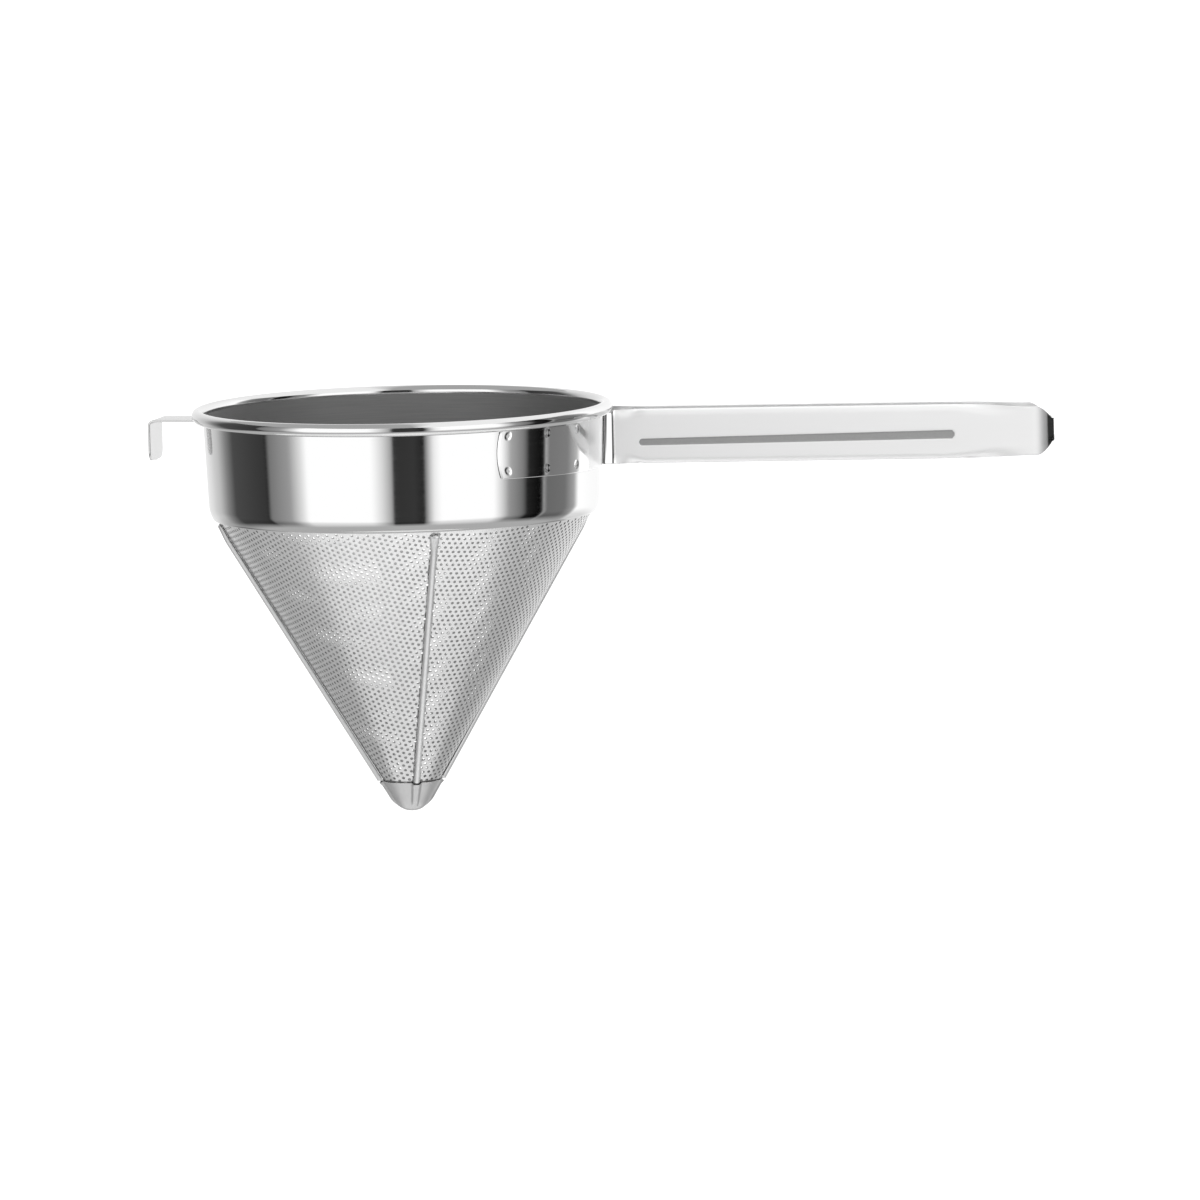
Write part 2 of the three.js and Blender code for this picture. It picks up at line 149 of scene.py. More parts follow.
# Stainless steel, mirror buffed: a clear reflection whose edges waver slightly where the thin
# sheet isn't quite true, with faint rings left by the wheel. Inside, the mill finish is duller.
mirror_steel = bpy.data.materials.new("mirror_buffed_stainless")
mirror_steel.use_nodes = True
tree = mirror_steel.node_tree
shader = tree.nodes["Principled BSDF"]
shader.inputs["Base Color"].default_value = linear("#dcdcdc")
shader.inputs["Metallic"].default_value = 1.0
where = add_node(tree, "ShaderNodeTexCoord", {})
wheel_rings = add_node(tree, "ShaderNodeMapping", {"Vector": where.outputs["Object"], "Scale": (2, 2, 900)})
rings = add_node(tree, "ShaderNodeTexNoise", {"Vector": wheel_rings.outputs["Vector"], "Scale": 1.0, "Detail": 3.0})
waver_place = add_node(tree, "ShaderNodeMapping", {"Vector": where.outputs["Object"], "Scale": (32, 32, 7)})
waver = add_node(tree, "ShaderNodeTexNoise", {"Vector": waver_place.outputs["Vector"], "Scale": 1.0, "Detail": 1.0})
buffed = add_node(
    tree, "ShaderNodeMapRange",
    {"Value": rings.outputs["Fac"], "From Min": 0.3, "From Max": 0.7, "To Min": 0.05, "To Max": 0.09},
)
tree.links.new(buffed.outputs["Result"], shader.inputs["Roughness"])
waved = add_node(
    tree, "ShaderNodeBump",
    {"Height": waver.outputs["Fac"], "Strength": 0.25, "Distance": 0.0004},
)
ringed = add_node(
    tree, "ShaderNodeBump",
    {"Height": rings.outputs["Fac"], "Strength": 0.15, "Distance": 0.00001, "Normal": waved.outputs["Normal"]},
)
tree.links.new(ringed.outputs["Normal"], shader.inputs["Normal"])

# Stainless steel as it left the mill: soft, so the bowl's inside shows no clear picture. Its grey, darker than the
# buffed outside, is painted shade inside the bowl.
mill_finish_and_shade_steel = bpy.data.materials.new("mill_finish_stainless_inside_painted_shade")
mill_finish_and_shade_steel.use_nodes = True
tree = mill_finish_and_shade_steel.node_tree
shader = tree.nodes["Principled BSDF"]
shader.inputs["Base Color"].default_value = linear("#999999")
shader.inputs["Metallic"].default_value = 1.0
where = add_node(tree, "ShaderNodeTexCoord", {})
mill_place = add_node(tree, "ShaderNodeMapping", {"Vector": where.outputs["Object"], "Scale": (40, 40, 1500)})
mill = add_node(tree, "ShaderNodeTexNoise", {"Vector": mill_place.outputs["Vector"], "Scale": 1.0, "Detail": 3.0})
soft = add_node(
    tree, "ShaderNodeMapRange",
    {"Value": mill.outputs["Fac"], "From Min": 0.3, "From Max": 0.7, "To Min": 0.6, "To Max": 0.7},
)
tree.links.new(soft.outputs["Result"], shader.inputs["Roughness"])

rim_band.data.materials.append(mirror_steel)
rim_band.data.materials.append(mill_finish_and_shade_steel)
# the inside faces take the darker grey: painted shade inside the bowl
for face in rim_band.data.polygons:
    middle = face.center
    from_axis = Vector((middle.x, middle.y, 0)).normalized()
    if face.normal.dot(from_axis) < -0.5 and middle.z < 0.0035 and middle.xy.length < 0.0956:
        face.material_index = 1
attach(rim_band, "root")
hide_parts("rim_band")


# The perforated cone. A half disc of stainless sheet is punched flat with staggered round
# holes, rolled into a cone and seam welded at the back, under a rib. Its plain border is bent
# up into a short skirt, which is welded inside the band.

cone_sheet = 0.5
half_angle = math.radians(30.8)
skirt_radius = 91.3
skirt_length = 6.0
knee_depth = 49.1
cone_end_radius = 8.3
apex_level = bead_level - knee_depth - skirt_radius / math.tan(half_angle)
hole_width = 1.5
hole_pitch = 2.92
row_turn = math.radians(52.1)
front = math.radians(-86)
knee = 2.5
tangent = knee * math.tan(half_angle / 2)
knee_slant = skirt_radius / math.sin(half_angle)
first_row = knee_slant - tangent - 1.0
last_row = 18.2
seam_border = 2.4


def on_cone(slant, turn, inset=0.0):
    """Place on the cone at a distance from its point, a turn about the axis, and a depth in the sheet."""
    radius = slant * math.sin(half_angle) - inset * math.cos(half_angle)
    level = apex_level + slant * math.cos(half_angle) + inset * math.sin(half_angle)
    return (radius * math.cos(turn), radius * math.sin(turn), level)


def punched_sheet():
    """Corners and faces of the flat punched blank, as (distance from the point, angle) pairs."""
    half_blank = math.pi * math.sin(half_angle)
    steps = [np.array([math.cos(row_turn + k * math.pi / 3), math.sin(row_turn + k * math.pi / 3)]) for k in (0, 1)]
    reach = int(first_row / hole_pitch * 1.2) + 2
    places = []
    for i in range(-2 * reach, 2 * reach):
        for j in range(-2 * reach, 2 * reach):
            spot = hole_pitch * (i * steps[0] + j * steps[1])
            slant = math.hypot(*spot)
            angle = math.atan2(spot[0], spot[1])
            from_seam = slant * (half_blank - abs(angle))
            if last_row <= slant <= first_row and abs(angle) < half_blank and from_seam > seam_border:
                places.append(spot)
    places = np.array(places)
    # a six-sided hole as large as the round one it draws, with its sides towards its neighbours
    corner_reach = hole_width / 2 * 1.1
    corner_turn = row_turn + np.radians(30 + 60 * np.arange(6))
    corners = places[:, None, :] + corner_reach * np.stack([np.cos(corner_turn), np.sin(corner_turn)], axis=1)[None]
    corners = corners.reshape(-1, 2)
    border = []
    top, bottom = knee_slant - tangent, cone_end_radius / math.sin(half_angle)
    for angle in np.linspace(-half_blank, half_blank, 241):
        border.append((top, angle))
    for slant in np.linspace(top, bottom, 52)[1:-1]:
        border.append((slant, half_blank))
    for angle in np.linspace(half_blank, -half_blank, 61):
        border.append((bottom, angle))
    for slant in np.linspace(bottom, top, 52)[1:-1]:
        border.append((slant, -half_blank))
    flat = [(s * math.sin(a), s * math.cos(a)) for s, a in border]
    points = [Vector(p) for p in corners] + [Vector(p) for p in flat]
    holes = len(places)
    edges = [(6 * h + k, 6 * h + (k + 1) % 6) for h in range(holes) for k in range(6)]
    rim = [len(corners) + i for i in range(len(flat))]
    placed, _, faces, vertex_source, _, _ = geometry.delaunay_2d_cdt(points, edges, [rim], 1, 1e-6)
    source = [min(s) if s else -1 for s in vertex_source]
    kept = []
    for face in faces:
        first = [source[v] for v in face]
        own_hole = len({f // 6 for f in first}) == 1 and max(first) < len(corners)
        if not own_hole:
            kept.append(first)
    return corners, border, kept, holes


corners, border, sheet_faces, holes = punched_sheet()
polar = [(math.hypot(x, y), math.atan2(x, y)) for x, y in corners] + list(border)
turn_of = lambda angle: front + angle / math.sin(half_angle)
outside = [on_cone(s, turn_of(a)) for s, a in polar]
inside = [on_cone(s, turn_of(a), cone_sheet) for s, a in polar]
side = len(polar)
cone_points = outside + inside
flat_at = lambda i: np.array([polar[i][0] * math.sin(polar[i][1]), polar[i][0] * math.cos(polar[i][1])])
cone_faces = []
for face in sheet_faces:
    a, b, c = (flat_at(i) for i in face[:3])
    if (b[0] - a[0]) * (c[1] - a[1]) - (b[1] - a[1]) * (c[0] - a[0]) < 0:
        face = face[::-1]
    cone_faces.append(tuple(face))
    cone_faces.append(tuple(i + side for i in reversed(face)))
for h in range(holes):
    for k in range(6):
        i, j = 6 * h + k, 6 * h + (k + 1) % 6
        cone_faces.append((i, j, j + side, i + side))

# the knee above the first row and the skirt, ring by ring
start = 6 * holes
top_ring = list(range(start, start + 240))
skirt_rings = []
knee_centre = (skirt_radius - knee, apex_level + knee_slant * math.cos(half_angle) + tangent)
skirt_top = bead_level - knee_depth + skirt_length
outer_line = arc(knee_centre, knee, -math.degrees(half_angle), 0, 5)[1:]
outer_line += [(skirt_radius, skirt_top - cone_sheet / 2)]
lip = arc((skirt_radius - cone_sheet / 2, skirt_top - cone_sheet / 2), cone_sheet / 2, 0, 180, 6)[1:-1]
inner_line = [(skirt_radius - cone_sheet, skirt_top - cone_sheet / 2)]
inner_line += arc(knee_centre, knee - cone_sheet, 0, -math.degrees(half_angle), 5)[:-1]
ring_turns = [turn_of(a) for _, a in border[:240]]
previous = top_ring
for radius, level in outer_line + lip + inner_line:
    ring = list(range(len(cone_points), len(cone_points) + 240))
    cone_points += [(radius * math.cos(t), radius * math.sin(t), level) for t in ring_turns]
    for k in range(240):
        n = (k + 1) % 240
        cone_faces.append((previous[k], previous[n], ring[n], ring[k]))
    previous = ring
inner_top = [i + side for i in top_ring]
for k in range(240):
    n = (k + 1) % 240
    cone_faces.append((previous[k], previous[n], inner_top[n], inner_top[k]))
# the open end at the bottom
bottom_start = start + 241 + 50
for k in range(60):
    i, j = bottom_start + k, bottom_start + k + 1
    cone_faces.append((i, j, j + side, i + side))

# the two straight edges meet at the back, where the seam is welded
same = {}
renumbered = []
kept_points = []
for i, place in enumerate(cone_points):
    key = tuple(round(c, 4) for c in place)
    if key not in same:
        same[key] = len(kept_points)
        kept_points.append(place)
    renumbered.append(same[key])
welded_faces = []
for face in cone_faces:
    joined = list(dict.fromkeys(renumbered[i] for i in face))
    if len(joined) > 2:
        welded_faces.append(joined)
cone = piece_from("strainer_cone_punched", kept_points, welded_faces, sharp=35)

# Stainless steel sheet as rolled and punched: bright but softer than the buffed band, with a fine
# cloudy grain and a roughness that changes from place to place where it was rolled. Its colour is
# darkened towards the tip as painted shade, and a thin broken line of painted shade runs beside each rib.
punched_steel = bpy.data.materials.new("punched_stainless_sheet")
punched_steel.use_nodes = True
tree = punched_steel.node_tree
shader = tree.nodes["Principled BSDF"]
shader.inputs["Metallic"].default_value = 1.0
where = add_node(tree, "ShaderNodeTexCoord", {})
cloud = add_node(tree, "ShaderNodeTexNoise", {"Vector": where.outputs["Object"], "Scale": 260.0, "Detail": 3.0})
rib_turn = 4
parts = add_node(tree, "ShaderNodeSeparateXYZ", {"Vector": where.outputs["Object"]})
turn = add_node(tree, "ShaderNodeMath", {0: parts.outputs["Y"], 1: parts.outputs["X"]}, operation="ARCTAN2")
past_rib = add_node(tree, "ShaderNodeMath", {0: turn.outputs[0], 1: math.radians(45 - rib_turn) + 2 * math.pi})
quarter = add_node(tree, "ShaderNodeMath", {0: past_rib.outputs[0], 1: math.pi / 2}, operation="MODULO")
from_rib = add_node(tree, "ShaderNodeMath", {0: quarter.outputs[0], 1: -math.pi / 4})
to_rib = add_node(tree, "ShaderNodeMath", {0: from_rib.outputs[0]}, operation="ABSOLUTE")
flat = add_node(tree, "ShaderNodeVectorMath", {0: where.outputs["Object"], 1: (1, 1, 0)}, operation="MULTIPLY")
reach = add_node(tree, "ShaderNodeVectorMath", {0: flat.outputs["Vector"]}, operation="LENGTH")
away = add_node(tree, "ShaderNodeMath", {0: to_rib.outputs[0], 1: reach.outputs["Value"]}, operation="MULTIPLY")
# a dark band beside each rib, broken up by noise: painted shade where the rib meets the cone
near = add_node(tree, "ShaderNodeMapRange", {"Value": away.outputs[0], "From Min": 0.0017, "From Max": 0.0022, "To Min": 1.0, "To Max": 0.0})
broken = add_node(tree, "ShaderNodeTexNoise", {"Vector": where.outputs["Object"], "Scale": 380.0, "Detail": 1.0})
shade_breaks = add_node(tree, "ShaderNodeMapRange", {"Value": broken.outputs["Fac"], "From Min": 0.42, "From Max": 0.56, "To Min": 0.1, "To Max": 1.0})
painted_rib_shade = add_node(tree, "ShaderNodeMath", {0: near.outputs["Result"], 1: shade_breaks.outputs["Result"]}, operation="MULTIPLY")
# the sheet's colour grows darker towards the tip: painted shade
height = add_node(tree, "ShaderNodeMapRange", {"Value": parts.outputs["Z"], "From Min": -0.12, "From Max": -0.048})
sheet_with_tip_shade = add_node(
    tree, "ShaderNodeMixRGB",
    {"Fac": height.outputs["Result"], "Color1": linear("#d6d6d6"), "Color2": linear("#eaeaea")},
)
shaded_sheet_colour = add_node(
    tree, "ShaderNodeMixRGB",
    {"Fac": painted_rib_shade.outputs[0], "Color1": sheet_with_tip_shade.outputs["Color"], "Color2": linear("#484848")},
)
tree.links.new(shaded_sheet_colour.outputs["Color"], shader.inputs["Base Color"])
rolled = add_node(
    tree, "ShaderNodeMapRange",
    {"Value": cloud.outputs["Fac"], "From Min": 0.3, "From Max": 0.7, "To Min": 0.2, "To Max": 0.34},
)
tree.links.new(rolled.outputs["Result"], shader.inputs["Roughness"])
grain = add_node(
    tree, "ShaderNodeBump",
    {"Height": cloud.outputs["Fac"], "Strength": 0.3, "Distance": 0.00004},
)
tree.links.new(grain.outputs["Normal"], shader.inputs["Normal"])

# Stainless steel sheared by a punch: the wall of each hole is torn, so it is dark and rough.
sheared_steel = bpy.data.materials.new("sheared_stainless_hole_wall")
sheared_steel.use_nodes = True
tree = sheared_steel.node_tree
shader = tree.nodes["Principled BSDF"]
shader.inputs["Metallic"].default_value = 1.0
where = add_node(tree, "ShaderNodeTexCoord", {})
tear = add_node(tree, "ShaderNodeTexNoise", {"Vector": where.outputs["Object"], "Scale": 3000.0, "Detail": 1.0})
torn = add_node(
    tree, "ShaderNodeMixRGB",
    {"Fac": tear.outputs["Fac"], "Color1": linear("#a4a4a4"), "Color2": linear("#cccccc")},
)
tree.links.new(torn.outputs["Color"], shader.inputs["Base Color"])
shader.inputs["Roughness"].default_value = 0.55

# Stainless sheet as rolled, on the cone's inside: softer than its buffed outside, and greyer as painted shade inside
# the cone.
rolled_inside_and_shade_steel = bpy.data.materials.new("rolled_stainless_inside_painted_shade")
rolled_inside_and_shade_steel.use_nodes = True
tree = rolled_inside_and_shade_steel.node_tree
shader = tree.nodes["Principled BSDF"]
shader.inputs["Base Color"].default_value = linear("#c4c4c4")
shader.inputs["Metallic"].default_value = 1.0
where = add_node(tree, "ShaderNodeTexCoord", {})
cloud = add_node(tree, "ShaderNodeTexNoise", {"Vector": where.outputs["Object"], "Scale": 260.0, "Detail": 3.0})
soft = add_node(
    tree, "ShaderNodeMapRange",
    {"Value": cloud.outputs["Fac"], "From Min": 0.3, "From Max": 0.7, "To Min": 0.36, "To Max": 0.46},
)
tree.links.new(soft.outputs["Result"], shader.inputs["Roughness"])

cone.data.materials.append(punched_steel)
cone.data.materials.append(sheared_steel)
cone.data.materials.append(rolled_inside_and_shade_steel)
punched_part = (apex_level + cone_end_radius / math.tan(half_angle) + 0.5, bead_level - knee_depth - 0.5)
# faces turned inward take the greyer material: painted shade inside the cone
for face in cone.data.polygons:
    from_axis = Vector((face.center.x, face.center.y, 0)).normalized()
    outward = face.normal.dot(from_axis * math.cos(half_angle) - Vector((0, 0, math.sin(half_angle))))
    if punched_part[0] < face.center.z * 1000 < punched_part[1]:
        if abs(outward) < 0.3:
            face.material_index = 1
        elif outward < -0.7:
            face.material_index = 2
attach(cone, "root")
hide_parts("strainer_cone")


# The four ribs. Each is a length of half-round stainless wire, welded down the outside of the
# cone to stiffen it. The head is hammered flat and wide, and the foot runs flat under the cap.

rib_gap = 0.3
rib_height = 2.3
pressed_height = 0.7
cone_end_depth = knee_depth + (skirt_radius - cone_end_radius) / math.tan(half_angle)
cap_top_depth = cone_end_depth - 9
rib_top_depth = band_depth + 1.2
rib_end_depth = cone_end_depth - 2.5


def eased(value, start, end):
    """A smooth step from 0 to 1 between two places."""
    share = min(1.0, max(0.0, (value - start) / (end - start)))
    return share * share * (3 - 2 * share)


def rib_rings(turn):
    """Closed sections of the rib from its head to its foot."""
    turn = math.radians(turn)
    out = np.array([math.cos(half_angle) * math.cos(turn), math.cos(half_angle) * math.sin(turn), -math.sin(half_angle)])
    across = np.array([-math.sin(turn), math.cos(turn), 0.0])
    depths = list(np.linspace(rib_top_depth, rib_top_depth + 12, 22)) + list(np.linspace(70, 174, 27))
    depths += list(np.linspace(cap_top_depth - 1.6, cap_top_depth, 12))
    depths += [cap_top_depth + 2, cap_top_depth + 4, rib_end_depth - 1, rib_end_depth - 0.5, rib_end_depth]
    rings = []
    for depth in depths:
        slant = (bead_level - depth - apex_level) / math.cos(half_angle)
        foot = np.array(on_cone(slant, turn)) + out * rib_gap
        head = 1 - eased(depth, rib_top_depth, rib_top_depth + 9)
        pressed = eased(depth, cap_top_depth - 1.4, cap_top_depth - 0.1)
        half = (3.1 + 1.7 * head) / 2
        height = rib_height + (pressed_height - rib_height) * max(0.5 * head, pressed)
        # the ends are rounded off
        from_end = min(depth - rib_top_depth, rib_end_depth - depth)
        if from_end < 0.8:
            share = math.sqrt(max(0.0, 1 - (1 - from_end / 0.8) ** 2))
            half *= 0.55 + 0.45 * share
            height *= 0.35 + 0.65 * share
        ring = []
        for k in range(17):
            x = -math.cos(math.pi * k / 16)
            y = height * (0.16 + 0.84 * math.sqrt(max(0.0, 1 - x * x)))
            ring.append(foot + across * half * x + out * y)
        for x in (0.96, 0.5, 0.0, -0.5, -0.96):
            ring.append(foot + across * half * x)
        rings.append(ring)
    middle = [[np.mean(rings[0], axis=0)] * 22]
    end = [[np.mean(rings[-1], axis=0)] * 22]
    return end + rings[::-1] + middle


# Stainless wire, satin: pale with lengthwise drawing lines.
drawn_steel = bpy.data.materials.new("drawn_stainless_wire")
drawn_steel.use_nodes = True
tree = drawn_steel.node_tree
shader = tree.nodes["Principled BSDF"]
shader.inputs["Base Color"].default_value = linear("#e9e9e9")
shader.inputs["Metallic"].default_value = 1.0
where = add_node(tree, "ShaderNodeTexCoord", {})
cloud = add_node(tree, "ShaderNodeTexNoise", {"Vector": where.outputs["Object"], "Scale": 420.0, "Detail": 2.0})
satin = add_node(
    tree, "ShaderNodeMapRange",
    {"Value": cloud.outputs["Fac"], "From Min": 0.3, "From Max": 0.7, "To Min": 0.4, "To Max": 0.48},
)
tree.links.new(satin.outputs["Result"], shader.inputs["Roughness"])

# Stainless steel painted dark along the foot of each rib, where it meets the cone: painted shade at the join, broken up
# by noise.
rib_foot_shade_steel = bpy.data.materials.new("stainless_painted_shade_rib_foot")
rib_foot_shade_steel.use_nodes = True
tree = rib_foot_shade_steel.node_tree
shader = tree.nodes["Principled BSDF"]
shader.inputs["Metallic"].default_value = 1.0
where = add_node(tree, "ShaderNodeTexCoord", {})
rib_shade_breaks = add_node(tree, "ShaderNodeTexNoise", {"Vector": where.outputs["Object"], "Scale": 500.0, "Detail": 2.0})
share = add_node(tree, "ShaderNodeMapRange", {"Value": rib_shade_breaks.outputs["Fac"], "From Min": 0.35, "From Max": 0.65})
painted_rib_shade = add_node(
    tree, "ShaderNodeMixRGB",
    {"Fac": share.outputs["Result"], "Color1": linear("#2e2e2e"), "Color2": linear("#7c7c7c")},
)
tree.links.new(painted_rib_shade.outputs["Color"], shader.inputs["Base Color"])
shader.inputs["Roughness"].default_value = 0.5

for name, quarter in (("front", -90), ("right", 0), ("back", 90), ("left", 180)):
    rib = skinned("rib_wire_" + name, rib_rings(rib_turn + quarter), sharp=50)
    rib.data.materials.append(drawn_steel)
    rib.data.materials.append(rib_foot_shade_steel)
    # the faces low along the cone take the dark material: painted shade where the rib meets the cone
    for face in rib.data.polygons:
        x, y, z = face.center * 1000
        above = (math.hypot(x, y) - (z - apex_level) * math.tan(half_angle)) * math.cos(half_angle)
        if above < 0.7 and rib_top_depth + 1 < bead_level - z < cap_top_depth - 1.5:
            face.material_index = 1
    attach(rib, "root")
    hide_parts("rib_" + name)


# The tip cap. A small cup is drawn from thin stainless sheet and pressed over the cone's open
# end and the feet of the ribs, so that it bulges over each of them. It is spot welded on.

cap_sheet = 0.5
cap_floor_depth = cone_end_depth + 6.1


def cap_wall(offset, floor_depth):
    """The cup's wall from its open edge to the middle of its floor, as radius and depth."""
    slope = math.tan(half_angle)
    side = lambda depth: ((skirt_radius - slope * (depth - knee_depth)) + offset / math.cos(half_angle), depth)
    line = [side(d) for d in np.linspace(cap_top_depth + 0.15, cone_end_depth - 0.5, 16)]
    a = np.array(line[-1])
    b = a + 3.6 * np.array([-math.sin(half_angle), math.cos(half_angle)])
    c, d = np.array([a[0] * 0.6, floor_depth]), np.array([0.0, floor_depth])
    for t in np.linspace(0, 1, 17)[1:]:
        spot = a * (1 - t) ** 3 + 3 * b * t * (1 - t) ** 2 + 3 * c * t * t * (1 - t) + d * t ** 3
        line.append(tuple(spot))
    return line


def cap_rings():
    """Rings about the axis, from the middle of the cup's inside up, over its edge and down outside."""
    outer = cap_wall(rib_gap + cap_sheet, cap_floor_depth)
    inner = cap_wall(rib_gap, cap_floor_depth - cap_sheet)
    (r0, d0), (r1, d1) = inner[0], outer[0]
    rim = [((r0 + r1) / 2 + math.cos(t) * (r1 - r0) / 2, (d0 + d1) / 2 - 0.15 * math.sin(t)) for t in (2.4, 1.57, 0.75)]
    rings = []
    for radius, depth in inner[::-1] + rim + outer:
        ring = []
        for turn in np.radians(np.arange(0, 360, 2)):
            grown, drop = radius, 0.0
            if radius > 0.01:
                quarter = (math.degrees(turn) - rib_turn + 45) % 90 - 45
                from_rib = abs(math.radians(quarter)) * radius
                narrowed = 1 - 0.35 * eased(depth, cap_top_depth, cap_floor_depth)
                over = 1 - eased(from_rib, 1.0 * narrowed, 2.7 * narrowed)
                fade = 1 - eased(depth, cone_end_depth, cone_end_depth + 5.2)
                grown += 1.28 * over * fade
                drop = 0.9 * over * (1 - eased(depth, cap_top_depth, cap_top_depth + 3))
            ring.append((grown * math.cos(turn), grown * math.sin(turn), bead_level - depth - drop))
        rings.append(ring)
    return rings[::-1]


cap = skinned("tip_cap_drawn", cap_rings(), sharp=50)

# Stainless sheet, deep drawn: grey and a little rough, as it comes from the press.
pressed_steel = bpy.data.materials.new("pressed_stainless_cup")
pressed_steel.use_nodes = True
tree = pressed_steel.node_tree
shader = tree.nodes["Principled BSDF"]
shader.inputs["Base Color"].default_value = linear("#c8c8c8")
shader.inputs["Metallic"].default_value = 1.0
where = add_node(tree, "ShaderNodeTexCoord", {})
draw_lines = add_node(tree, "ShaderNodeMapping", {"Vector": where.outputs["Object"], "Scale": (700, 700, 160)})
lines = add_node(tree, "ShaderNodeTexNoise", {"Vector": draw_lines.outputs["Vector"], "Scale": 1.0, "Detail": 2.0})
dull = add_node(
    tree, "ShaderNodeMapRange",
    {"Value": lines.outputs["Fac"], "From Min": 0.3, "From Max": 0.7, "To Min": 0.32, "To Max": 0.42},
)
tree.links.new(dull.outputs["Result"], shader.inputs["Roughness"])

cap.data.materials.append(pressed_steel)
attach(cap, "root")
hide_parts("tip_cap")


# The handle. One long strap of stainless sheet, folded in half round a hanging loop. Its two
# ends are left flat and curved to the band as wings, each held by six spot welds, and between
# them and the loop its edges are turned in and a groove is pressed along each side.

strap_sheet = 1.0
handle_length = 215.8
handle_half_width = 12.5
handle_height = 26.2
root_bend = 2.2
root_sweep = 8.3
root_split = math.radians(65)
wing_angle = math.radians(67.2)
loop_x = 101.6 + handle_length - handle_half_width
weld_turns = (64.4, 49.8, 35.8)
weld_rise = 8.4
end_slope = 0.8
end_bow = 1.7


def strap_depth(x):
    """Depth of the strap's middle line, which droops towards the loop."""
    return bead_radius + 10.2 + 0.0195 * x


wing_depth = strap_depth(bead_centre / 2)
wing_radius = band_radius(wing_depth) + 0.3 + strap_sheet
bend_y = handle_half_width + root_sweep - (root_sweep - root_bend) * math.sin(root_split)
bend_x = math.sqrt((wing_radius + root_bend) ** 2 - bend_y ** 2)
fillet_x = bend_x + (root_sweep - root_bend) * math.cos(root_split)
fillet_turn = math.atan2(bend_y, bend_x)
groove_start = fillet_x + 12.8
groove_end = groove_start + 153.8


def strap_stations():
    """The strap's plan from one wing's end, round the loop, to the other wing's end."""
    stations = []
    wing_end = wing_angle - end_slope / wing_radius
    angles = list(np.linspace(wing_end, fillet_turn, 84))
    for turn in weld_turns:
        angles += list(np.radians(np.linspace(turn - 1.45, turn + 1.45, 17)))
    last = 2 * math.pi
    for angle in sorted(angles, reverse=True):
        if (last - angle) * wing_radius < 0.12:
            continue
        last = angle
        along = (angle - fillet_turn) / (wing_angle - fillet_turn)
        stations.append(dict(
            x=wing_radius * math.cos(angle), y=wing_radius * math.sin(angle), face=angle, wing=1.0, along=along,
        ))
    for k in range(1, 21):
        if k <= 12:
            centre, radius = (bend_x, bend_y), root_bend
            turn = fillet_turn + (k / 12) * (root_split - fillet_turn)
        else:
            centre, radius = (fillet_x, handle_half_width + root_sweep), root_sweep
            turn = root_split + ((k - 12) / 8) * (math.pi / 2 - root_split)
        stations.append(dict(
            x=centre[0] - radius * math.cos(turn), y=centre[1] - radius * math.sin(turn),
            face=turn, wing=1 - eased(k, 0, 20), along=0.0,
        ))
    straight = set(np.linspace(fillet_x + 1, fillet_x + 20, 16)) | set(np.linspace(fillet_x + 24, loop_x - 46, 34))
    straight |= set(np.linspace(fillet_x + 0.15, fillet_x + 2.6, 14))
    straight |= set(np.linspace(groove_start - 1.2, groove_start + 3.4, 15))
    straight |= set(np.linspace(groove_end - 3.6, groove_end + 1.2, 15)) | set(np.linspace(loop_x - 44, loop_x - 0.8, 26))
    last = fillet_x
    for x in sorted(straight):
        if x - last > 0.12:
            stations.append(dict(x=x, y=handle_half_width, face=math.pi / 2, wing=0.0, along=0.0))
            last = x
    for turn in np.linspace(0, 90, 31):
        face = math.radians(90 - turn)
        stations.append(dict(
            x=loop_x + handle_half_width * math.cos(face), y=handle_half_width * math.sin(face),
            face=face, wing=0.0, along=0.0, turn=turn,
        ))
    far = [dict(s, y=-s["y"], face=-s["face"]) for s in stations[:-1]]
    return stations + far[::-1]


def strap_reach(station):
    """How far the strap reaches above and below its middle line."""
    radius = math.hypot(station["x"], station["y"])
    nearest = min(max(bead_centre, radius - strap_sheet), radius) - bead_centre
    bead = math.sqrt(max(0.0, bead_radius ** 2 - nearest ** 2)) + 0.4
    height = handle_height + (23.6 - handle_height) * eased(station["x"], loop_x - 32, loop_x + 2)
    narrowed = eased(station["turn"], 10, 64) if "turn" in station else 0.0
    half = (height + (12.0 - height) * narrowed) / 2
    wing = 1 - eased(station["x"], fillet_x - 60, fillet_x + 15)
    return min(half, strap_depth(station["x"]) - bead), half + (12.2 - half) * wing


